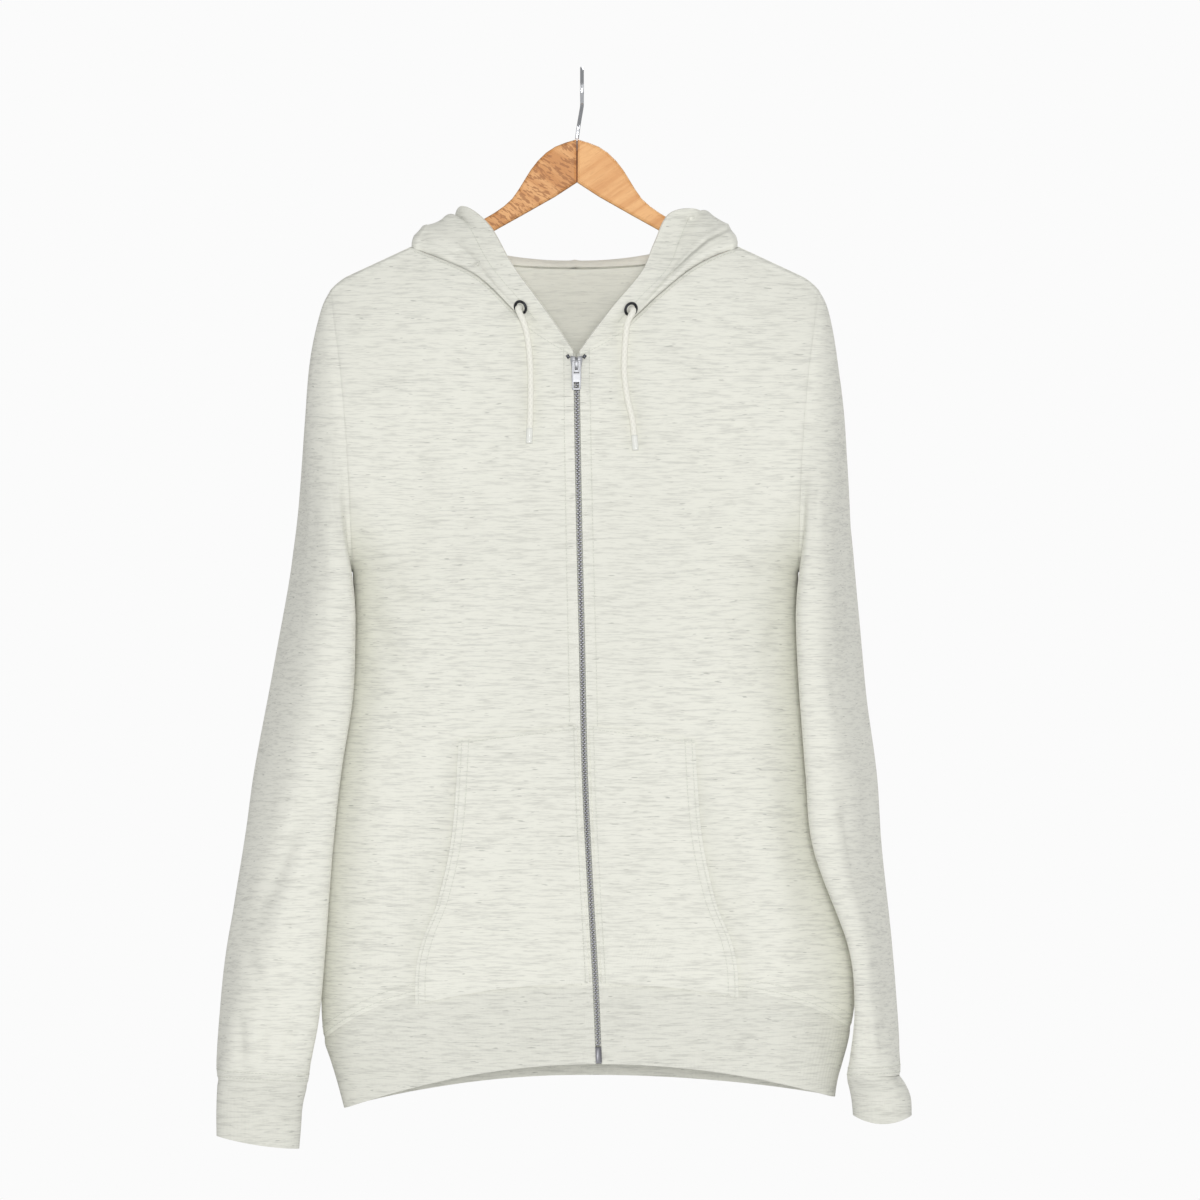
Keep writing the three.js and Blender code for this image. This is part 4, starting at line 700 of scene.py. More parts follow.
def hoodPoints(side, front, back, s, v):
    sign = sideSign[side]
    columns = int(np.argmin(np.abs(s - neckShare)))
    neck = np.concatenate([front[:columns + 1, 0], back[:columns, 0][::-1]])
    step = np.interp(s[:columns + 1], across[:neckColumns + 1], np.arange(neckColumns + 1))
    u = np.concatenate([step, 2 * neckColumns + 1 - step[:columns][::-1] - 1]) / (2 * neckColumns)
    inPlane = lambda row: (cutSet["middle"], *row)
    crown, forehead = np.array(inPlane(hoodTable["crown"])), np.array(inPlane(hoodTable["forehead"]))
    frontNeck, backNeck = neck[0], neck[-1]
    rim = [frontNeck, *hoodTable["rim"][side], forehead]
    backLine = [backNeck, *map(inPlane, hoodTable["backSeam"]), crown]
    topLine = [forehead, *map(inPlane, hoodTable["topSeam"]), crown]
    onTop, onRim, onBack = alongPoints(topLine, u)[:, None], alongPoints(rim, v)[None], alongPoints(backLine, v)[None]
    uu, vv = u[:, None, None], v[None, :, None]
    points = neck[:, None] * (1 - vv) + onTop * vv + onRim * (1 - uu) + onBack * uu
    points = (points - frontNeck * (1 - uu) * (1 - vv) - forehead * (1 - uu) * vv
              - backNeck * uu * (1 - vv) - crown * uu * vv)
    uu, vv = uu[..., 0], vv[..., 0]
    stand = hoodTable["stand"]
    points[..., 0] += sign * hoodTable["bulge"] * ((1 - uu) * (1 - vv)) ** hoodTable["fullness"] * (uu * vv) ** 2
    standing = np.sin(np.pi * np.clip((uu - stand["from"]) / stand["span"], 0, 1)) ** 2
    standing = standing * np.sin(np.pi * np.minimum(1, vv * stand["steep"]))
    points[..., 0] -= sign * stand["lean"] * standing
    points[..., 2] += stand["height"] * standing
    for height, along, alongReach, up, upReach in hoodTable["peaks"][side]:
        points[..., 2] += height * hump(uu, along, alongReach) * hump(vv, up, upReach)
    return points, u


# making a wall of cloth from a grid of its outside
def gridNormals(grid, closed, outward):
    if closed:
        alongI = np.roll(grid, -1, axis=0) - np.roll(grid, 1, axis=0)
    else:
        alongI = np.gradient(grid, axis=0)
    alongJ = np.gradient(grid, axis=1)
    normal = np.cross(alongI, alongJ) * outward
    length = np.linalg.norm(normal, axis=-1, keepdims=True)
    flat = length[..., 0] < 1e-9
    normal = normal / np.maximum(length, 1e-9)
    if flat.any():
        normal[flat] = normal[~flat].mean(axis=0)
    return normal


def cutLengths(grid):
    # the flat cut's own co-ordinates, from the mean spacing of the grid's lines
    alongI = np.linalg.norm(np.diff(grid, axis=0), axis=-1).mean(axis=1)
    alongJ = np.linalg.norm(np.diff(grid, axis=1), axis=-1).mean(axis=0)
    return np.concatenate([[0], np.cumsum(alongI)]), np.concatenate([[0], np.cumsum(alongJ)])


def flatArea(grid, closed):
    loop = np.concatenate([grid, grid[:1]]) if closed else grid
    a, b, c, d = loop[:-1, :-1], loop[1:, :-1], loop[1:, 1:], loop[:-1, 1:]
    first = np.linalg.norm(np.cross(b - a, c - a), axis=-1)
    second = np.linalg.norm(np.cross(c - a, d - a), axis=-1)
    return float((first.sum() + second.sum()) / 2)


seamLooks = {"plain": (0.8, 3.0), "faint": (0.1, 2.0), "neck": (1.6, 2.4), "laid": (1.0, 3.2)}


def edgeDistance(grid, *names):
    # how far each point of the grid lies from the named edges, along the cloth
    stepI, stepJ = (np.linalg.norm(np.diff(grid, axis=axis), axis=-1) for axis in (0, 1))
    alongI = np.concatenate([np.zeros((1, grid.shape[1])), np.cumsum(stepI, axis=0)])
    alongJ = np.concatenate([np.zeros((grid.shape[0], 1)), np.cumsum(stepJ, axis=1)], axis=1)
    far = {"start": alongI, "end": alongI[-1:] - alongI, "top": alongJ, "bottom": alongJ[:, -1:] - alongJ}
    return {name: far[name] for name in names}


def seamDip(grid, normals, seams):
    # cloth is drawn in along its seams: depth and reach for each edge
    dip = 0
    for name, distance in edgeDistance(grid, *seams).items():
        depth, reach = seamLooks[seams[name]]
        if seams[name] == "neck":  # drawn in hard from the eyelet to the shoulder, hardly at all by the zip and behind
            run = edgeDistance(grid, "start")["start"]
            depth = depth * (0.12 + 0.88 * np.clip((run - 42) / 16, 0, 1) * np.clip((190 - run) / 25, 0, 1))
        dip = dip + depth * np.exp(-(distance / reach) ** 2)
    return grid - normals * np.broadcast_to(dip, grid.shape[:2])[..., None]


def clothMesh(name, outside, inside, closed, materials, shade=None):
    columns, rows = outside.shape[:2]
    points = inFrame(np.concatenate([outside.reshape(-1, 3), inside.reshape(-1, 3)]))
    i, j = np.meshgrid(np.arange(columns if closed else columns - 1), np.arange(rows - 1), indexing="ij")
    i, j = i.ravel(), j.ravel()
    after = (i + 1) % columns
    layer = columns * rows
    outer = np.stack([i * rows + j, after * rows + j, after * rows + j + 1, i * rows + j + 1], axis=1)
    inner = outer[:, ::-1] + layer
    k = np.arange(columns if closed else columns - 1)
    after = (k + 1) % columns
    top = np.stack([k * rows, k * rows + layer, after * rows + layer, after * rows], axis=1)
    low = rows - 1
    bottom = top[:, [0, 3, 2, 1]] + low
    rims = [top, bottom]
    if not closed:
        m, end = np.arange(rows - 1), (columns - 1) * rows
        rims.append(np.stack([m, m + 1, m + 1 + layer, m + layer], axis=1))
        rims.append(np.stack([end + m, end + m + layer, end + m + 1 + layer, end + m + 1], axis=1))
    faces = np.concatenate([outer, inner, *rims])
    centre = points.mean(axis=0)
    corners = (points - centre)[faces]
    volume = (np.einsum("ij,ij->i", corners[:, 0], np.cross(corners[:, 1], corners[:, 2]))
              + np.einsum("ij,ij->i", corners[:, 0], np.cross(corners[:, 2], corners[:, 3]))).sum()
    if volume < 0:
        faces = faces[:, ::-1]
    mesh = bpy.data.meshes.new(name)
    mesh.from_pydata(points.tolist(), [], faces.tolist())
    for material in materials:
        mesh.materials.append(material)
    insideFaces = np.zeros(len(faces), dtype=np.int32)
    if len(materials) > 1:
        insideFaces[len(outer):len(outer) * 2] = 1
    mesh.polygons.foreach_set("material_index", insideFaces)
    mesh.polygons.foreach_set("use_smooth", np.ones(len(faces), dtype=bool))
    acrossCut, downCut = cutLengths(outside)
    flat = np.stack(np.meshgrid(acrossCut, downCut, indexing="ij"), axis=-1).reshape(-1, 2) / 1000
    flat = np.concatenate([flat, flat])
    layerUv = mesh.uv_layers.new(name="cut")
    order = np.empty(len(mesh.loops), dtype=np.int32)
    mesh.loops.foreach_get("vertex_index", order)
    uv = flat[order]
    if closed:  # the last column of faces runs on past the seam, not back to the start
        place = faces % layer // rows
        seam = np.repeat((place == 0).any(axis=1) & (place == columns - 1).any(axis=1), 4)
        first = (order % layer // rows) == 0
        around = acrossCut[-1] + np.linalg.norm(outside[0] - outside[-1], axis=-1).mean()
        uv[seam & first, 0] += around / 1000
    layerUv.data.foreach_set("uv", uv.astype(np.float32).ravel())
    # painted shade along folds and seams, kept on the outside points for the material to darken its colour
    if shade is not None:
        paintedShadeLayer = mesh.attributes.new("paintedShade", "FLOAT", "POINT")
        paintedShadeLayer.data.foreach_set("value", np.concatenate([shade.ravel(), np.zeros(shade.size)]).astype(np.float32))
    sharp = mesh.attributes.new("sharp_edge", "BOOLEAN", "EDGE")
    ends = np.empty(len(mesh.edges) * 2, dtype=np.int32)
    mesh.edges.foreach_get("vertices", ends)
    ends = ends.reshape(-1, 2)
    row, column = ends % layer % rows, ends % layer // rows
    sameLayer = (ends[:, 0] < layer) == (ends[:, 1] < layer)
    onRim = (row == 0).all(axis=1) | (row == rows - 1).all(axis=1)
    if not closed:
        onRim |= (column == 0).all(axis=1) | (column == columns - 1).all(axis=1)
    sharp.data.foreach_set("value", (onRim & sameLayer))
    mesh.validate()
    return link(name, mesh)


cloths = {}  # each piece's outside points and their normals, for the sewing that lies on them


def sewnPiece(name, nodes, grid, closed, outward, kind, materials, seams, shade=None):
    normals = gridNormals(grid, closed, outward)
    outside = seamDip(grid, normals, seams)
    cloths[name] = (outside, normals)
    piece = clothMesh(name, outside, outside - normals * cutSet[kind], closed, materials, shade)
    onBody(piece, nodes)
    acrossCut, downCut = cutLengths(grid)
    wide = acrossCut[-1] + (np.linalg.norm(grid[0] - grid[-1], axis=-1).mean() if closed else 0)
    cloth = round(flatArea(grid, closed) / 1e6, 4)


# the body of the hoodie
acrossFine = refine(across, [0.016] * 10 + [0.009, 0.006])
downFine = refine(down, [0.0017, 0.003, 0.004, 0.0055] + [0.006] * 6 + [0.005, 0.0055] + [0.006] * 7)
bandFine = np.linspace(0, 1, 19)
panels = {side: {face: halfPanel(side, face == "front", acrossFine, downFine) for face in ("front", "back")}
          for side in sideSign}
panels["right"]["back"][0] = panels["left"]["back"][0]
bothFleeces, bothBands = [fleece, fleeceInsidePaintedLighter], [bandKnit, bandInsidePaintedLighter]

for side, sign in sideSign.items():
    sewnPiece(f"front_panel_{side}", [f"front_{side}"], panels[side]["front"], False, -sign, "fleece", bothFleeces,
              {"end": "faint", "bottom": "plain", "top": "neck"})
backGrid = np.concatenate([panels["left"]["back"][:0:-1], panels["right"]["back"]])
sewnPiece("back_panel", ["back"], backGrid, False, 1, "fleece", bothFleeces,
          {"start": "faint", "end": "faint", "bottom": "plain"})

bands = {side: {face: halfBand(side, face == "front", acrossFine, bandFine, panels[side][face])
                for face in ("front", "back")} for side in sideSign}
bands["right"]["back"][0] = bands["left"]["back"][0]
backBand = np.concatenate([bands["left"]["back"][:0:-1], bands["right"]["back"]])
bandGrid = np.concatenate([bands["left"]["front"], backBand[1:-1], bands["right"]["front"][::-1]])
sewnPiece("waistband_piece", ["waistband"], bandGrid, False, 1, "band", bothBands, {"top": "plain"})
print("body and waistband")

ringSteps = refine(np.arange(14.0), [1 / parts for parts in (5, 10, 12, 14, 15, 14, 17, 17, 15, 17, 14, 12, 8)])
for side, sign in sideSign.items():
    grid, angle = sleevePoints(side, panels[side]["front"], panels[side]["back"], downFine, ringSteps)
    normals = gridNormals(grid, True, sign)
    onFront = np.clip(-normals[..., 1] * 1.6, 0, 1)
    own = np.clip((ringSteps - 1.2) / 3, 0, 1)[None, :] * np.clip((13 - ringSteps) / 0.7, 0, 1)[None, :]
    push = foldsAt(sleeveFolds[side], grid[..., 0], grid[..., 2]) * onFront
    push = push + softWaves(grid[..., 0] + 2 * grid[..., 1], grid[..., 2], 21 + sign, 0.8)
    grid = grid + normals * (push * own)[..., None]
    lengths = [f"sleeve_{part}_{side}" for part in ("upper", "elbow", "lower")]
    lengths = [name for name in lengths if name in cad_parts]
    sewnPiece(f"sleeve_tube_{side}", lengths, grid, True, sign, "fleece", bothFleeces,
              {"top": "faint", "bottom": "plain"})
    cuff = cuffPoints(side, grid[:, -1], angle, np.linspace(0, 3, 22))
    sewnPiece(f"cuff_band_{side}", [f"cuff_{side}"], cuff, True, sign, "band", bothBands, {"top": "plain"})
print("sleeves and cuffs")

hoodFine = refine(hoodTable["rows"], [0.005, 0.005, 0.007, 0.009] + [0.011] * 8)


def finer(grid, factor):
    # the same surface with more columns and rows
    for axis in (0, 1):
        table = np.moveaxis(grid, axis, 0)
        at = np.linspace(0, len(table) - 1, (len(table) - 1) * factor + 1)
        made = through(np.arange(float(len(table))), table.reshape(len(table), -1), at)
        grid = np.moveaxis(made.reshape(len(at), *table.shape[1:]), 0, axis)
    return grid


def creaseDepth(creases, x, z):
    # a fold line in the front view: the cloth falls off sharply on one side of the line and slowly on the other, and
    # shade is painted along it
    total, dark = np.zeros(x.shape), np.zeros(x.shape)
    for points, depth, edge, fall, tone in creases:
        points = np.asarray(points, float)
        ends = runAlong(points)
        nearest, share = np.full(x.shape, 1e3), np.zeros(x.shape)
        for k, (a, b) in enumerate(zip(points[:-1], points[1:])):
            way = unit(b - a)
            along = (x - a[0]) * way[0] + (z - a[1]) * way[1]
            off = (x - a[0]) * way[1] - (z - a[1]) * way[0]
            past = np.clip(along, 0, ends[k + 1] - ends[k])
            far = np.sign(off) * np.hypot(off, along - past)
            closer = np.abs(far) < np.abs(nearest)
            nearest = np.where(closer, far, nearest)
            share = np.where(closer, (ends[k] + past) / ends[-1], share)
        fade = np.clip(np.sin(np.pi * share), 0, 1) ** 0.6
        total = total - depth * fade * np.exp(-np.abs(nearest) / np.where(nearest > 0, fall, edge))
        # painted shade: how dark the colour is made along the line
        dark = np.maximum(dark, tone * fade * np.exp(-(nearest / hoodTable["shadeReach"]) ** 2))
    return total, dark


for side, sign in sideSign.items():
    grid, u = hoodPoints(side, panels[side]["front"], panels[side]["back"], acrossFine, hoodFine)
    grid = finer(grid, hoodTable["finer"])
    up = np.interp(np.arange(grid.shape[1]) / hoodTable["rampRows"], np.arange(len(hoodFine)), hoodFine)
    normals = gridNormals(grid, False, sign)
    facing = np.clip(-normals[..., 1] * 3, 0, 1) * np.clip(up / 0.03, 0, 1)[None, :]
    folds = foldsAt(hoodTable["folds"][side], grid[..., 0], grid[..., 2])
    creases, dark = creaseDepth(hoodTable["creases"][side], grid[..., 0], grid[..., 2])
    grid = grid + normals * ((folds + creases) * facing)[..., None]
    # painted shade along the neck seam from the eyelet to the shoulder, joined with the painted shade of the folds
    run, far = edgeDistance(grid, "start", "top").values()
    seamPaintedShade = hoodTable["seamShade"] * np.clip((run - 56) / 12, 0, 1) * np.clip((172 - run) / 20, 0, 1)
    dark = np.maximum(dark * facing, seamPaintedShade * np.exp(-(far / hoodTable["shadeReach"]) ** 2))
    sewnPiece(f"hood_half_{side}", [f"hood_{side}"], grid, False, sign, "fleece", [fleece, hoodInsidePaintedLighter],
              {"top": "neck", "end": "plain", "bottom": "plain"}, shade=dark)
print("hood")


# Pockets are cut in two halves and laid on the fronts; the slanted side stands open for the hand
pocketSet = {
    "topAtZip": -563, "topAtSide": -575, "inset": 5.5, "lift": 2, "bulge": 5.0, "columns": 44, "rows": 76,
    "edge": {"z": (-560, -654, -714, -748, -775, -815), "x": (100, 106, 118, 131, 137, 138)},
}


def pocketPoints(side, count, rows):
    sign = sideSign[side]
    share = np.linspace(0, 1, count)[:, None]
    low = np.linspace(0, 1, rows)[None, :]
    topZ = lerp(pocketSet["topAtZip"], pocketSet["topAtSide"], share)
    edgeX = lookUp(pocketSet["edge"], "z", "x", lerp(topZ, cutSet["frontSeam"], low))
    roughX = lerp(zipAt(topZ) + sign * pocketSet["inset"], sign * edgeX, share)
    z = lerp(topZ, cutSet["frontSeam"] - riseTable[side]["frontSeam"] * roughX * roughX + pocketSet["lift"], low)
    x = lerp(zipAt(z) + sign * pocketSet["inset"], sign * lookUp(pocketSet["edge"], "z", "x", z), share)
    bulge = pocketSet["bulge"] * share ** 1.4 * np.sin(np.pi * low) ** 0.7
    return overFront(x, z, cutSet["seamGap"] * 2 + bulge + cutSet["pocket"])


for side, sign in sideSign.items():
    grid = pocketPoints(side, pocketSet["columns"], pocketSet["rows"])
    sewnPiece(f"pocket_half_{side}", [f"pocket_{side}"], grid, False, -sign, "pocket", bothFleeces,
              {"top": "laid", "start": "laid", "bottom": "laid"})
print("pockets")


# modelling of the hard pieces, and the sewing: one stitch is modelled and copied along each line
def only(piece):
    clearSelection()
    piece.select_set(True)
    bpy.context.view_layer.objects.active = piece


def startEditing(piece):
    only(piece)
    bpy.ops.object.mode_set(mode="EDIT")


def stopEditing():
    bpy.ops.object.mode_set(mode="OBJECT")


def shift(x=0, y=0, z=0):
    bpy.ops.transform.translate(value=(x, y, z))


def extrude(x=0, y=0, z=0, edges=False):
    grow = bpy.ops.mesh.extrude_edges_move if edges else bpy.ops.mesh.extrude_region_move
    grow(TRANSFORM_OT_translate={"value": (x, y, z)})


def makeBlock(wide, deep, tall, location=(0, 0, 0)):
    clearSelection()
    bpy.ops.mesh.primitive_cube_add(size=1, location=location, scale=(wide, deep, tall))
    block = bpy.context.object
    bpy.ops.object.transform_apply(location=True, rotation=False, scale=True)
    return block


def bevelEdges(piece, width, angle):
    bevel = piece.modifiers.new("edges", "BEVEL")
    bevel.width, bevel.segments, bevel.limit_method, bevel.angle_limit = width, 2, "ANGLE", math.radians(angle)


def thicken(piece, thickness, offset):
    solid = piece.modifiers.new("plate", "SOLIDIFY")
    solid.thickness, solid.offset = thickness, offset


def applyModifiers(piece):
    only(piece)
    for modifier in list(piece.modifiers):
        bpy.ops.object.modifier_apply(modifier=modifier.name)


def choose(piece, kind, test):
    bpy.ops.mesh.select_mode(type=kind)
    bpy.ops.mesh.select_all(action="DESELECT")
    mesh = bmesh.from_edit_mesh(piece.data)
    for part in mesh.verts if kind == "VERT" else mesh.faces:
        part.select_set(bool(test(part.co if kind == "VERT" else part.calc_center_median(), part)))
    bmesh.update_edit_mesh(piece.data)


def faceTowards(piece, axis, sign):
    choose(piece, "FACE", lambda middle, face: face.normal[axis] * sign > 0.9)


def settle(piece, name, material, place=None, smooth=35):
    # applies what is live, then leaves the place in the mesh and the object at the origin
    applyModifiers(piece)
    bpy.ops.object.transform_apply(location=True, rotation=True, scale=True)
    if place is not None:
        piece.data.transform(place)
    bpy.ops.object.shade_smooth_by_angle(angle=math.radians(smooth))
    piece.name = name
    piece.data.name = name
    piece.data.materials.clear()
    piece.data.materials.append(material)
    clearSelection()
    return piece


def copyAlong(name, template, places, material):
    # joins one copy of the template's mesh for each place into one mesh
    source = np.array([vertex.co[:] for vertex in template.data.vertices])
    faces = [tuple(face.vertices) for face in template.data.polygons]
    places = np.asarray(places)
    moved = np.einsum("kij,nj->kni", places[:, :3, :3], source) + places[:, None, :3, 3]
    count = len(source)
    mesh = bpy.data.meshes.new(name)
    mesh.from_pydata(moved.reshape(-1, 3).tolist(), [],
                     [tuple(index + k * count for index in face) for k in range(len(places)) for face in faces])
    mesh.materials.append(material)
    mesh.polygons.foreach_set("use_smooth", np.ones(len(mesh.polygons), dtype=bool))
    return link(name, mesh)


def standing(points, alongs, outs):
    # a place at each point: x along the line, -y out of the cloth, z across
    alongs = unit(alongs)
    outs = unit(outs - alongs * (outs * alongs).sum(axis=-1, keepdims=True))
    places = np.zeros((len(points), 4, 4))
    places[:, :3, 0], places[:, :3, 1], places[:, :3, 2] = alongs, -outs, np.cross(alongs, -outs)
    places[:, :3, 3] = inFrame(points)
    places[:, 3, 3] = 1
    return places


stitchSet = {"length": 2.5, "radius": 0.26, "pitch": 3.3, "sunk": 0.04, "twin": 6.2}


def makeStitch():
    clearSelection()
    bpy.ops.mesh.primitive_cylinder_add(vertices=6, radius=stitchSet["radius"] / 1000,
                                        depth=stitchSet["length"] * 0.72 / 1000, rotation=(0, math.pi / 2, 0))
    stitch = bpy.context.object
    bpy.ops.object.transform_apply(location=False, rotation=True, scale=False)
    for end in (-1, 1):
        startEditing(stitch)
        faceTowards(stitch, 0, end)
        extrude(end * stitchSet["length"] * 0.14 / 1000)
        bpy.ops.transform.resize(value=(1, 0.5, 0.5))
        stopEditing()
    return stitch


stitchShape = makeStitch()


def sampleGrid(table, i, j):
    i = np.clip(np.asarray(i, float), 0, table.shape[0] - 1.001)
    j = np.clip(np.asarray(j, float), 0, table.shape[1] - 1.001)
    a, b = i.astype(int), j.astype(int)
    s, t = (i - a)[:, None], (j - b)[:, None]
    return ((table[a, b] * (1 - s) + table[a + 1, b] * s) * (1 - t)
            + (table[a, b + 1] * (1 - s) + table[a + 1, b + 1] * s) * t)


def insetLine(grid, edge, distance, fromShare=0.0, toShare=1.0):
    # grid places along one edge of a piece, a distance in from it
    columns, rows = grid.shape[:2]
    far = edgeDistance(grid, edge)[edge]
    if edge in ("start", "end"):
        order = slice(None) if edge == "start" else slice(None, None, -1)
        j = np.arange(rows)[int(fromShare * (rows - 1)):int(toShare * (rows - 1)) + 1]
        i = np.array([np.interp(distance, far[order, k], np.arange(columns)) for k in j])
        i = i if edge == "start" else columns - 1 - i
        return i, j.astype(float)
    order = slice(None) if edge == "top" else slice(None, None, -1)
    i = np.arange(columns)[int(fromShare * (columns - 1)):int(toShare * (columns - 1)) + 1]
    j = np.array([np.interp(distance, far[k, order], np.arange(rows)) for k in i])
    j = j if edge == "top" else rows - 1 - j
    return i.astype(float), j


def stitchPlaces(name, edge, distance, fromShare=0.0, toShare=1.0, closed=False):
    outside, normals = cloths[name]
    i, j = insetLine(outside, edge, distance, fromShare, toShare)
    points, outs = sampleGrid(outside, i, j), sampleGrid(normals, i, j)
    if closed:
        points, outs = np.concatenate([points, points[:1]]), np.concatenate([outs, outs[:1]])
    knots = runAlong(points)
    count = max(2, int(knots[-1] / stitchSet["pitch"]))
    at = (np.arange(count) + 0.5) / count * knots[-1]
    axis = lambda table, where: np.stack([np.interp(where, knots, table[:, k]) for k in range(3)], axis=1)
    middle, out = axis(points, at), axis(outs, at)
    along = axis(points, at + 0.8) - axis(points, at - 0.8)
    return standing(middle + unit(out) * (stitchSet["radius"] - stitchSet["sunk"]), along, unit(out))


seamLines = {
    "neck": 4.0, "casing": 27.0, "zip": 9.5, "hem": 3.6, "pocket": 3.0, "pocketWide": 9.0, "cuff": 3.4, "hoodBack": 3.2,
}
neckEnd = float(np.argmin(np.abs(acrossFine - neckShare))) / (len(acrossFine) - 1)
twin = stitchSet["twin"]
# each run of stitches: the piece, its edge, how far in from it, and the share of the edge from and to
eachSide = {
    "zip_topstitch": [("front_panel_", "start", seamLines["zip"], 0.01, 1)],
    "neck_topstitch": [("front_panel_", "top", seamLines["neck"], 0.02, neckEnd)],
    "hem_twin_stitch": [("front_panel_", "bottom", seamLines["hem"]),
                        ("front_panel_", "bottom", seamLines["hem"] + twin)],
    "cuff_twin_stitch": [("sleeve_tube_", "bottom", seamLines["cuff"], 0, 1, True),
                         ("sleeve_tube_", "bottom", seamLines["cuff"] + twin, 0, 1, True)],
    "pocket_topstitch": [("pocket_half_", "end", seamLines["pocket"]), ("pocket_half_", "end", seamLines["pocketWide"]),
                         ("pocket_half_", "top", seamLines["pocket"]), ("pocket_half_", "start", seamLines["pocket"])],
    "hood_stitch": [("hood_half_", "start", seamLines["casing"], 0.08, 1),
                    ("hood_half_", "bottom", seamLines["hoodBack"])],
}
onBack = {
    "neck_topstitch": [("back_panel", "top", seamLines["neck"], 0.5 - neckEnd / 2, 0.5 + neckEnd / 2)],
    "hem_twin_stitch": [("back_panel", "bottom", seamLines["hem"]), ("back_panel", "bottom", seamLines["hem"] + twin)],
}
for name, runs in eachSide.items():
    runs = [(f"{run[0]}{side}", *run[1:]) for side in sideSign for run in runs] + onBack.get(name, [])
    places = np.concatenate([stitchPlaces(*run) for run in runs])
    onBody(copyAlong(name, stitchShape, places, thread), [])
    print(f"{name}: {len(places)} stitches")
bpy.data.objects.remove(stitchShape)
print("sewing")


# metals
def metal(name, colour, roughness, wear=0.12, grain=420):
    finish = Finish(name, roughness=roughness, metallic=1.0)
    place = finish.place()
    cloud = finish.noise(place, scale=grain, detail=3)
    fine = finish.noise(place, scale=grain * 6, detail=2)
    colours = finish.mix(cloud, tuple(c * (1 - wear) for c in colour), colour)
    return finish.dress(colours, fine, 0.00005, 0.25, Roughness=cloud * 0.12 + (roughness - 0.04))


zipMetal = metal("zip metal", linear(176, 177, 180), 0.46, 0.2, 300)
chainMetal = metal("zip teeth metal", linear(122, 122, 126), 0.42)
gunMetal = metal("gunmetal", linear(66, 67, 71), 0.42)
wireChrome = metal("hook chrome", linear(222, 224, 228), 0.1, 0.05, 160)


def frontPoint(x, z, height):
    return overFront(np.array([x]), np.array([z]), np.array([height]))[0]


def frontFrame(x, z, height, reach):
    # a place on the front: x across, -y out of the cloth, z up along it
    up = unit(frontPoint(x + zipAt(z + reach) - zipAt(z - reach), z + reach, height) - frontPoint(x, z - reach, height))
    inward = unit(np.cross(up, unit(bodyPoint(x + reach, z, True) - bodyPoint(x - reach, z, True))))
    columns = (np.cross(inward, up), inward, up, inFrame(frontPoint(x, z, height)))
    return Matrix([*np.stack(columns, axis=1).tolist(), [0, 0, 0, 1]])


# The zip: metal teeth that mesh on the middle line, on a woven tape behind the edges
zipSet = {
    "from": -249.0, "to": -838.0, "pitch": 3.2, "toothWide": 2.75, "toothTall": 1.75, "toothDeep": 1.7, "aside": 1.25,
    "height": -0.75, "spreadFrom": -259.0, "spread": 2.4,
    "tapeInner": 0.9, "tapeHalf": 14.0, "tapeTop": -3.0, "tapeThick": 0.7,
}


def makeTooth():
    wide, tall, deep = zipSet["toothWide"] / 1000, zipSet["toothTall"] / 1000, zipSet["toothDeep"] / 1000
    tooth = makeBlock(wide * 0.62, deep, tall * 0.72)
    startEditing(tooth)
    faceTowards(tooth, 0, -1)
    extrude(-wide * 0.3)
    bpy.ops.transform.resize(value=(1, 0.92, 1.38))
    faceTowards(tooth, 0, -1)
    bpy.ops.mesh.inset(thickness=tall * 0.22)
    shift(x=-wide * 0.07)
    faceTowards(tooth, 1, -1)
    bpy.ops.mesh.inset(thickness=tall * 0.12)
    shift(y=-deep * 0.08)
    stopEditing()
    return tooth


toothShape = makeTooth()
zipCount = int((zipSet["from"] - zipSet["to"]) / (zipSet["pitch"] / 2))
toothZ = zipSet["from"] - np.arange(zipCount) * zipSet["pitch"] / 2
toothSide = np.where(np.arange(zipCount) % 2 == 0, 1, -1)
opening = np.clip((toothZ - zipSet["spreadFrom"]) / 10, 0, 1) * zipSet["spread"]
toothX = zipAt(toothZ) + toothSide * (zipSet["aside"] + opening)
toothAt = overFront(toothX, toothZ, np.full(zipCount, zipSet["height"]))
onZip = lambda z, height: overFront(zipAt(z), z, np.full(zipCount, float(height)))
toothUp, toothOut = onZip(toothZ + 1, 0) - onZip(toothZ - 1, 0), onZip(toothZ, 1) - onZip(toothZ, 0)
toothPlaces = standing(toothAt, np.cross(-toothOut, toothUp) * toothSide[:, None], toothOut)
zipTeeth = copyAlong("zip_teeth", toothShape, toothPlaces, chainMetal)
zipTeeth.data.polygons.foreach_set("use_smooth", np.zeros(len(zipTeeth.data.polygons), dtype=bool))
onBody(zipTeeth, ["zip_chain"])
bpy.data.objects.remove(toothShape)


def tapeWeave():
    finish = Finish("zip tape", roughness=0.85)
    across, down = finish.cut()
    grain = finish.noise(finish.place(), scale=900, detail=2)
    twill = ((across + down) * (2 * math.pi / 0.0009)).cosine()
    colour = finish.mix(grain, linear(214, 215, 205), linear(226, 227, 218))
    return finish.dress(colour, twill * 0.4 + grain * 0.3, 0.0002, 0.6)


zipTapeCloth = tapeWeave()
for side, sign in sideSign.items():
    tapeZ = np.linspace(cutSet["zipTop"] - 1.5, zipSet["to"] + 0.5, 240)
    tapeAside = np.linspace(zipSet["tapeInner"], zipSet["tapeHalf"], 8)
    tapeZ, tapeAside = np.meshgrid(tapeZ, tapeAside)
    tapeGrid = overFront(zipAt(tapeZ) + sign * tapeAside, tapeZ, np.full(tapeZ.shape, zipSet["tapeTop"]))
    tapeNormals = gridNormals(tapeGrid, False, -sign)
    tape = clothMesh(f"zip_tape_{side}", tapeGrid, tapeGrid - tapeNormals * zipSet["tapeThick"], False, [zipTapeCloth])
    onBody(tape, ["zip_chain"])
print(f"zip: {zipCount} teeth and two tapes")


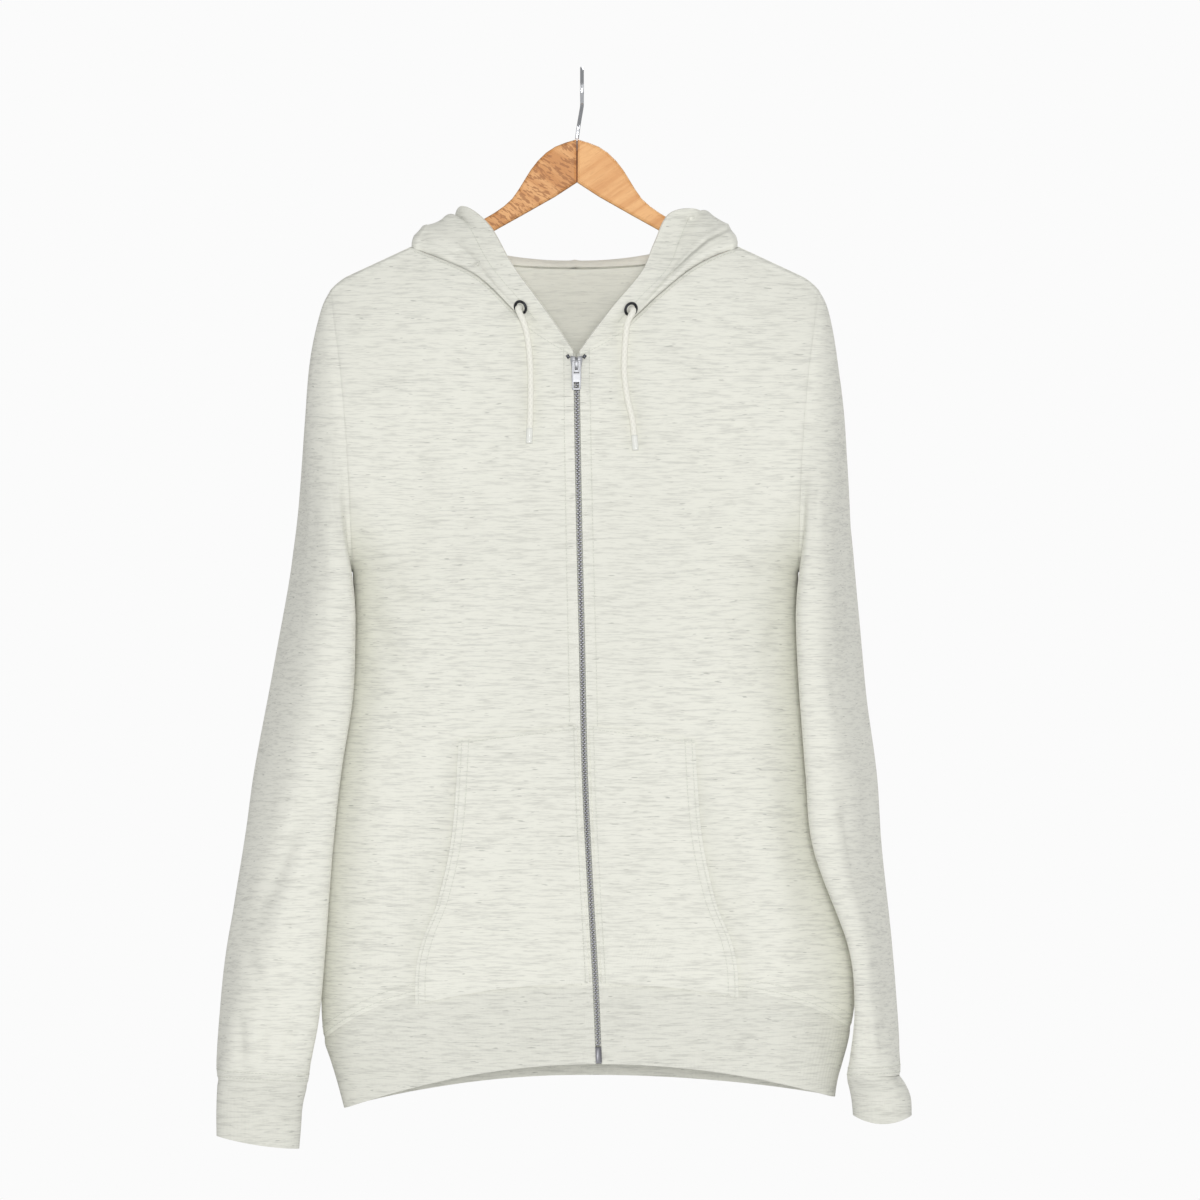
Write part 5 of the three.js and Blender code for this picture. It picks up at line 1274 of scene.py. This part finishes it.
# The slider and its pull are modelled about the pivot: x across, y into the cloth, z up
sliderSet = {
    "top": 5.0, "bottom": -9.5, "wide": 10.8, "thick": 2.6, "front": 1.45, "foot": 0.74, "waist": 0.78, "notch": 1.5,
    "archInner": 1.4, "archWire": 1.2, "archWide": 2.5, "archReach": 1.7, "archTall": 2.15, "archDrop": 1.9,
    "pivotZ": -251.5,
}
pullSet = {
    "thick": 1.4, "eyeHalf": 2.2, "holeHalf": 2.3, "rows": (0.7, -0.7, -10.3, -12.8, -16.2, -18.1, -23.3, -24.7),
    "halves": (3.7, 3.8, 4.0, 4.1, 4.0, 3.8, 3.7, 3.6),
}
slideBase, slideLow, slideTop = (
    frontPoint(zipAt(z), z, height) for z, height in ((-261.0, 0.1), (-273.0, 0.0), (-246.5, 0.0)))
sliderTilt = math.atan2(slideLow[1] - slideTop[1], -246.5 + 273.0)
pivot = ((float(zipAt(sliderSet["pivotZ"])) - hookLean) / 1000,
         (float(slideBase[1]) - sliderSet["thick"] - sliderSet["front"]) / 1000, sliderSet["pivotZ"] / 1000)
sliderPlace = Matrix.Translation(pivot) @ Matrix.Rotation(sliderTilt, 4, "X")


def makeSlider():
    look = sliderSet
    high, top, front = look["top"] - look["bottom"], look["top"], look["front"]
    body = makeBlock(look["wide"] / 1000, look["thick"] / 1000, high / 1000,
                     (0, (front + look["thick"] / 2) / 1000, (top + look["bottom"]) / 2000))
    startEditing(body)
    bpy.ops.mesh.select_all(action="SELECT")
    bpy.ops.mesh.subdivide(number_cuts=3)
    levels = [look["bottom"] + high * k / 4 for k in range(5)]
    for level, narrow in zip(levels, (look["foot"], look["waist"] * 0.97, look["waist"] * 1.06, 0.97, 0.9)):
        choose(body, "VERT", lambda place, vertex, level=level: abs(place.z * 1000 - level) < 0.4)
        bpy.ops.transform.resize(value=(narrow, 1, 1), center_override=(0, 0, level / 1000))
    choose(body, "VERT", lambda place, vertex: place.z * 1000 > top - 0.5 and abs(place.x) * 1000 < 1.2)
    shift(z=-look["notch"] / 1000)
    choose(body, "VERT", lambda place, vertex: place.z * 1000 > top - 0.5 and 1.5 < abs(place.x) * 1000 < 3.5)
    shift(z=-0.35 / 1000)
    # the face is crowned a little, and its rim stands back
    choose(body, "VERT", lambda place, vertex: place.y * 1000 < front + 0.2 and abs(place.x) * 1000 > 3.6)
    shift(y=0.45 / 1000)
    stopEditing()
    bevelEdges(body, 0.0004, 40)
    applyModifiers(body)
    clearSelection()
    bpy.ops.mesh.primitive_cylinder_add(vertices=28, radius=(look["archInner"] + look["archWire"]) / 1000,
                                        depth=look["archWide"] / 1000, rotation=(0, math.pi / 2, 0))
    arch = bpy.context.object
    bpy.ops.object.transform_apply(location=False, rotation=True, scale=False)
    startEditing(arch)
    choose(arch, "FACE", lambda middle, face: abs(face.normal.x) > 0.9)
    bpy.ops.mesh.inset(thickness=look["archWire"] / 1000)
    bpy.ops.mesh.bridge_edge_loops()
    choose(arch, "VERT", lambda place, vertex: place.y > 0.00005)
    shift(y=look["archReach"] / 1000)
    bpy.ops.mesh.select_all(action="SELECT")
    bpy.ops.transform.resize(value=(1, 1, look["archTall"]), center_override=(0, 0, 0))
    shift(z=-look["archDrop"] / 1000)
    stopEditing()
    bevelEdges(arch, 0.0003, 50)
    applyModifiers(arch)
    body.select_set(True)
    bpy.context.view_layer.objects.active = body
    bpy.ops.object.join()
    return settle(body, "zip_slider_body", zipMetal, sliderPlace)


def makePull():
    look = pullSet
    rows = look["rows"]
    clearSelection()
    bpy.ops.mesh.primitive_grid_add(x_subdivisions=3, y_subdivisions=len(rows) - 1, size=1,
                                    rotation=(math.pi / 2, 0, 0))
    pull = bpy.context.object
    bpy.ops.object.transform_apply(location=True, rotation=True, scale=True)
    startEditing(pull)
    found = [0.5 - k / (len(rows) - 1) for k in range(len(rows))]
    onLevel = lambda place, level: abs(place.z - level) < 0.02
    for k, (level, half) in enumerate(zip(found, look["halves"])):
        window = look["eyeHalf"] if k < 4 else look["holeHalf"]
        choose(pull, "VERT", lambda place, vertex, level=level: onLevel(place, level) and abs(place.x) < 0.3)
        bpy.ops.transform.resize(value=(window / 1000 / (1 / 6), 1, 1), center_override=(0, 0, 0))
        choose(pull, "VERT", lambda place, vertex, level=level: onLevel(place, level) and abs(place.x) > 0.3)
        bpy.ops.transform.resize(value=(half / 1000 / 0.5, 1, 1), center_override=(0, 0, 0))
    # the rows go to their heights two metres up, clear of those that still wait
    for level, row in zip(found, rows):
        choose(pull, "VERT", lambda place, vertex, level=level: onLevel(place, level))
        shift(z=2 + row / 1000 - level)
    bpy.ops.mesh.select_all(action="SELECT")
    shift(z=-2)
    for high, low in ((rows[1], rows[2]), (rows[5], rows[6])):
        choose(pull, "FACE", lambda middle, face, high=high, low=low:
               low < middle.z * 1000 < high and abs(middle.x) < 0.0005)
        bpy.ops.mesh.delete(type="FACE")
    for turn in (-1, 1):  # round the two lower corners
        choose(pull, "VERT", lambda place, vertex, turn=turn:
               place.z * 1000 < rows[-1] + 0.2 and place.x * turn > 0.003)
        bpy.ops.mesh.bevel(offset=0.0016, segments=3, affect="VERTICES")
    stopEditing()
    thicken(pull, look["thick"] / 1000, 0)
    bevelEdges(pull, 0.0003, 40)
    return settle(pull, "zip_pull_tab", zipMetal, sliderPlace)


stopSet = {"wide": 0.0028, "deep": 0.0016, "tall": 0.0034, "aside": 6.9, "below": 4.5, "height": 1.2, "turn": 0.6}


def makeStop(side):
    sign = sideSign[side]
    stop = makeBlock(stopSet["wide"], stopSet["deep"], stopSet["tall"])
    startEditing(stop)
    faceTowards(stop, 1, -1)
    bpy.ops.mesh.inset(thickness=0.0005)
    shift(y=-0.0003)
    stopEditing()
    bevelEdges(stop, 0.0003, 30)
    x = float(zipAt(cutSet["zipTop"])) + sign * stopSet["aside"]
    point = frontPoint(x, cutSet["zipTop"] - stopSet["below"], stopSet["height"])
    place = Matrix.Translation(inFrame(point)) @ Matrix.Rotation(sign * stopSet["turn"], 4, "Y")
    return settle(stop, f"zip_top_stop_{side}", gunMetal, place)


boxSet = {"from": -838.1, "to": -852.0, "wide": 5.2, "thick": 3.4, "height": -0.9}


def makeBox():
    box = makeBlock(boxSet["wide"] / 1000, boxSet["thick"] / 1000, (boxSet["from"] - boxSet["to"]) / 1000)
    startEditing(box)
    faceTowards(box, 1, -1)
    bpy.ops.mesh.inset(thickness=0.0009)
    shift(y=0.0005)
    faceTowards(box, 2, -1)
    bpy.ops.mesh.inset(thickness=0.0006)
    shift(z=-0.0005)
    stopEditing()
    bevelEdges(box, 0.0004, 30)
    middle = (boxSet["from"] + boxSet["to"]) / 2
    return settle(box, "zip_bottom_box", chainMetal, frontFrame(float(zipAt(middle)), middle, boxSet["height"], 5.0))


onBody(makeSlider(), ["zip_slider"])
onBody(makePull(), ["zip_pull"], pullBody)
for side in sideSign:
    onBody(makeStop(side), [f"zip_stop_{side}"])
onBody(makeBox(), ["zip_box"])
print("slider, pull, stops and box")

# Eyelets: a rolled ring set through the cloth, its rows from the hole outwards
eyeletSet = {"left": (-48, -205), "right": (46, -206.5), "height": 0.8, "plate": 0.00035,
             "rows": ((4.2, -1.2), (4.1, -0.2), (4.3, 0.6), (4.8, 1.1), (5.35, 1.2), (5.9, 1.0), (6.3, 0.5), (6.5, -0.1),
                      (6.2, -0.2))}
eyeletPlaces = {}
for side, sign in sideSign.items():
    outside, normals = cloths[f"hood_half_{side}"]
    columns, rows = outside.shape[0] // 2, outside.shape[1] // 2
    gap = np.hypot(outside[:columns, :rows, 0] - eyeletSet[side][0], outside[:columns, :rows, 2] - eyeletSet[side][1])
    i, j = np.unravel_index(np.argmin(gap), gap.shape)
    around = np.meshgrid(*(np.linspace(max(0, k - 1), k + 1, 41) for k in (i, j)), indexing="ij")
    fine = [each.ravel() for each in around]
    near = sampleGrid(outside, *fine)
    best = int(np.argmin(np.hypot(near[:, 0] - eyeletSet[side][0], near[:, 2] - eyeletSet[side][1])))
    eyeletPlaces[side] = (near[best], unit(sampleGrid(normals, *fine)[best]))


def makeEyelet(side):
    rows = eyeletSet["rows"]
    clearSelection()
    bpy.ops.mesh.primitive_circle_add(vertices=48, radius=rows[0][0] / 1000, fill_type="NOTHING",
                                      location=(0, 0, rows[0][1] / 1000))
    ring = bpy.context.object
    bpy.ops.object.transform_apply(location=True, rotation=False, scale=False)
    startEditing(ring)
    bpy.ops.mesh.select_all(action="SELECT")
    for (before, low), (radius, high) in zip(rows[:-1], rows[1:]):
        extrude(z=(high - low) / 1000, edges=True)
        bpy.ops.transform.resize(value=(radius / before, radius / before, 1), center_override=(0, 0, high / 1000))
    bpy.ops.mesh.select_all(action="SELECT")
    bpy.ops.mesh.normals_make_consistent(inside=False)
    stopEditing()
    thicken(ring, eyeletSet["plate"], -1)
    point, out = eyeletPlaces[side]
    turn = Vector((0, 0, 1)).rotation_difference(Vector(out.tolist())).to_matrix().to_4x4()
    place = Matrix.Translation(inFrame(point + out * eyeletSet["height"])) @ turn
    return settle(ring, f"eyelet_ring_{side}", gunMetal, place, 60)


for side in sideSign:
    onBody(makeEyelet(side), [f"eyelet_{side}"])
print("eyelets")


# The drawcord's two free ends: braided tubes from the eyelets down over the chest
cordSet = {
    "radius": 2.65, "sides": 20, "step": 1.1, "tipLong": 13.0, "tipRadius": 2.85, "inTip": 1.0,
    "exit": -1.2, "rise": 5.0,
    # x, z and height over the chest
    "left": ((-46, -217, 7.5), (-43, -226, 6), (-40.8, -240, 4), (-39.5, -258, 3.3), (-39.4, -284, 3.3),
             (-40, -305, 3.3), (-41, -322, 3.3)),
    "right": ((42.8, -220, 7.5), (41.5, -232, 5.4), (40.6, -246, 3.7), (40.6, -262, 3.3), (43.4, -284, 3.3),
              (47.5, -302, 3.3), (50.4, -328, 3.3)),
}


def smoothLine(points, step):
    # a line through the points with even steps, rounded between them
    points = np.asarray(points, float)
    knots = runAlong(points)
    fine = np.linspace(0, knots[-1], 400)
    line = np.stack([through(knots, points[:, k], fine) for k in range(3)], axis=1)
    run = runAlong(line)
    at = np.linspace(0, run[-1], max(4, int(run[-1] / step)))
    return np.stack([np.interp(at, run, line[:, k]) for k in range(3)], axis=1)


def tubeMesh(name, line, radii, sides, material):
    along = unit(np.gradient(line, axis=0))
    sideways = np.cross(along[0], [0.0, 1.0, 0.1])
    rims = []
    for k, way in enumerate(along):
        sideways = unit(sideways - way * (sideways @ way))
        up = np.cross(way, sideways)
        angle = np.arange(sides) / sides * 2 * math.pi
        rims.append(line[k] + radii[k] * (np.cos(angle)[:, None] * sideways + np.sin(angle)[:, None] * up))
    count = len(line)
    points = np.concatenate([np.concatenate(rims), line[:1], line[-1:]])
    k, m = np.meshgrid(np.arange(count - 1), np.arange(sides), indexing="ij")
    k, m = k.ravel(), m.ravel()
    after = (m + 1) % sides
    faces = np.stack([k * sides + m, (k + 1) * sides + m, (k + 1) * sides + after, k * sides + after], axis=1).tolist()
    ring = np.arange(sides)
    first, last = count * sides, count * sides + 1
    faces += np.stack([np.full(sides, first), ring, (ring + 1) % sides], axis=1).tolist()
    end = (count - 1) * sides
    faces += np.stack([np.full(sides, last), end + (ring + 1) % sides, end + ring], axis=1).tolist()
    mesh = bpy.data.meshes.new(name)
    mesh.from_pydata(inFrame(points).tolist(), [], faces)
    mesh.materials.append(material)
    mesh.polygons.foreach_set("use_smooth", np.ones(len(mesh.polygons), dtype=bool))
    run = runAlong(line) / 1000
    layer = mesh.uv_layers.new(name="cut")
    for face in mesh.polygons:
        corners = list(face.vertices)
        turns = {v % sides for v in corners if v < end + sides}
        wraps = sides - 1 in turns and 0 in turns
        for loop, v in zip(face.loop_indices, corners):
            if v >= end + sides:
                layer.data[loop].uv = (0, 0 if v == first else run[-1])
                continue
            turn = v % sides
            layer.data[loop].uv = ((sides if wraps and turn == 0 else turn) / sides, run[v // sides])
    return link(name, mesh)


def braid(name, light, dark, pitch):
    finish = Finish(name, roughness=0.9)
    around, down = finish.cut()
    oneWay = ((around * 5 + down / pitch) * (2 * math.pi)).cosine()
    otherWay = ((around * 5 - down / pitch) * (2 * math.pi)).cosine()
    strands = oneWay.maths("MAXIMUM", otherWay)
    grain = finish.noise(finish.place(), scale=1400, detail=2)
    shade = finish.step(strands * 0.75 + grain * 0.4, 0.0, 0.9)
    colour = finish.mix(shade, dark, light)
    return finish.dress(colour, strands * 0.7 + grain * 0.3, 0.00015, 0.4, Specular_IOR_Level=0.2)


def filmWrap():
    finish = Finish("cord film", roughness=0.35)
    around, down = finish.cut()
    turns = ((down / 0.0022 + around) * (2 * math.pi)).cosine()
    cloud = finish.noise(finish.place(), scale=300, detail=2)
    colour = finish.mix(cloud, linear(222, 223, 216), linear(238, 239, 233))
    return finish.dress(colour, turns * 0.4 + cloud * 0.4, 0.0002, 0.5, Coat_Weight=0.3)


cordBraid = braid("cord braid", linear(241, 240, 230), linear(233, 232, 222), 0.0058)
cordFilm = filmWrap()
for side in sideSign:
    point, out = eyeletPlaces[side]
    hang = [frontPoint(*row) for row in cordSet[side]]
    line = smoothLine([point + out * cordSet["exit"], point + out * cordSet["rise"], *hang], cordSet["step"])
    run = runAlong(line)
    bodyEnd, tipStart = run[-1] - cordSet["inTip"], run[-1] - cordSet["tipLong"]
    spot = lambda at: np.stack([np.interp(at, run, line[:, k]) for k in range(3)], axis=1)
    body = spot(np.concatenate([run[run < bodyEnd - 0.4], [bodyEnd]]))
    tip = spot(np.concatenate([np.linspace(tipStart, run[-1] - 0.8, 12), [run[-1] - 0.4, run[-1] - 0.1, run[-1]]]))
    tipRadii = cordSet["tipRadius"] * np.array([0.95, *[1] * (len(tip) - 4), 0.97, 0.88, 0.76])
    cord = tubeMesh(f"drawcord_{side}", body, np.full(len(body), cordSet["radius"]), cordSet["sides"], cordBraid)
    end = tubeMesh(f"drawcord_tip_{side}", tip, tipRadii, cordSet["sides"], cordFilm)
    onBody(cord, [f"cord_{side}"])
    onBody(end, [f"cord_tip_{side}"])
    print(f"drawcord {side}: {run[-1]:.0f} mm")

# The hook: bright wire from the hanger's hole, up and round over the rail
hookSet = {
    "radius": 1.6, "ring": 19.0, "wire": 20.6, "foot": ((0, 0, -59.45), (0.6, 0, -54), (1.6, 0.6, -47)),
    "from": -42, "to": 212, "step": 15.875,
}


def makeHook():
    turns = np.radians(np.arange(hookSet["from"], hookSet["to"] + 0.1, hookSet["step"] / 3))
    z = -hookSet["ring"] + hookSet["wire"] * np.sin(turns)
    ring = np.stack([hookLean * np.clip((z + 60) / 30, 0, 1), hookSet["wire"] * np.cos(turns), z], axis=1)
    line = smoothLine([*hookSet["foot"], *ring], 0.9)
    radii = np.full(len(line), hookSet["radius"])
    radii[-2:] = hookSet["radius"] * np.array([0.9, 0.6])
    return tubeMesh("hook_wire", line, radii, 20, wireChrome)


onBody(makeHook(), ["hanger_hook"])
print("cords and hook")


# Wood: the grain runs down each arm; the left half is darker, with wavy rays across it
woodSet = {
    "slope": math.radians(34),
    "left": {"base": linear(208, 146, 90), "light": linear(232, 176, 120), "mark": linear(158, 102, 60), "rays": 0.7},
    "right": {"base": linear(224, 164, 106), "light": linear(240, 186, 128), "mark": linear(190, 130, 80), "rays": 0.1},
}


def wood(side):
    look = woodSet[side]
    finish = Finish(f"hanger wood {side}", roughness=0.32)
    turn = woodSet["slope"] * (-1 if side == "left" else 1)
    along = finish.node("ShaderNodeMapping", {}, {"Vector": finish.place(), "Rotation": (0, turn, 0)})
    grain = finish.noise(finish.scaled(along, (9, 60, 130)), detail=4, roughness=0.55)
    pores = finish.noise(finish.scaled(along, (60, 500, 1100), (2, 5, 1)), detail=2)
    sway = finish.noise(finish.scaled(along, (60, 60, 60)), detail=1)
    drift = finish.node("ShaderNodeCombineXYZ", {}, {2: sway})
    bent = finish.node("ShaderNodeVectorMath", {"operation": "SCALE"}, {0: drift, 3: 0.006})
    bent = finish.node("ShaderNodeVectorMath", {"operation": "ADD"}, {0: along, 1: bent})
    rays = finish.noise(finish.scaled(bent, (170, 90, 620), (4, 1, 7)), detail=1.5, roughness=0.5)
    bands = finish.step(grain, 0.36, 0.64)
    colour = finish.mix(bands, look["base"], look["light"])
    colour = finish.mix(finish.step(rays, 0.5, 0.6) * look["rays"], colour, look["mark"])
    colour = finish.mix(finish.step(pores, 0.58, 0.72) * 0.35, colour, look["mark"])
    return finish.dress(colour, grain * 0.4 + pores * 0.4, 0.0002, 0.4, Roughness=grain * 0.14 + 0.46,
                        Specular_IOR_Level=0.3)


for side in sideSign:
    half = bpy.data.objects[f"hanger_{side}"]
    for slot in half.material_slots:
        slot.material = wood(side)
    half.data.polygons.foreach_set("use_smooth", np.ones(len(half.data.polygons), dtype=bool))
# the glue in the joint of the two halves fills the gap between them
leftPoints, rightPoints = (
    np.array([vertex.co[:] for vertex in bpy.data.objects[f"hanger_{side}"].data.vertices]) for side in sideSign)
jointX, farX = leftPoints[:, 0].max(), rightPoints[:, 0].min()
flat, joint = (leftPoints[leftPoints[:, 0] > jointX - reach] for reach in (0.0003, 0.0013))
glueLow = np.array([flat[:, 1].min() - 0.0004, joint[:, 2].min() + 0.0004])
glueHigh = np.array([flat[:, 1].max() + 0.0004, joint[:, 2].max() - 0.001])
glue = makeBlock(farX - jointX + 0.0006, *(glueHigh - glueLow), ((jointX + farX) / 2, *((glueLow + glueHigh) / 2)))
onBody(settle(glue, "hanger_glue", plainThread("glue line", linear(120, 78, 46), 0.6)), [])
print("wood")

# A plain pale floor well below the garment
clearSelection()
bpy.ops.mesh.primitive_plane_add(size=floorSet["size"], location=(0, 0, floorSet["height"]))
floor = bpy.context.object
floor.name = "floor"
floorFinish = Finish("floor", roughness=0.9)
floorCloud = floorFinish.noise(floorFinish.place(), scale=0.4, detail=2)
floorFinish.feed("Base Color", floorFinish.mix(floorCloud, floorSet["colour"], floorSet["light"]))
floor.data.materials.append(floorFinish.material)
clearSelection()
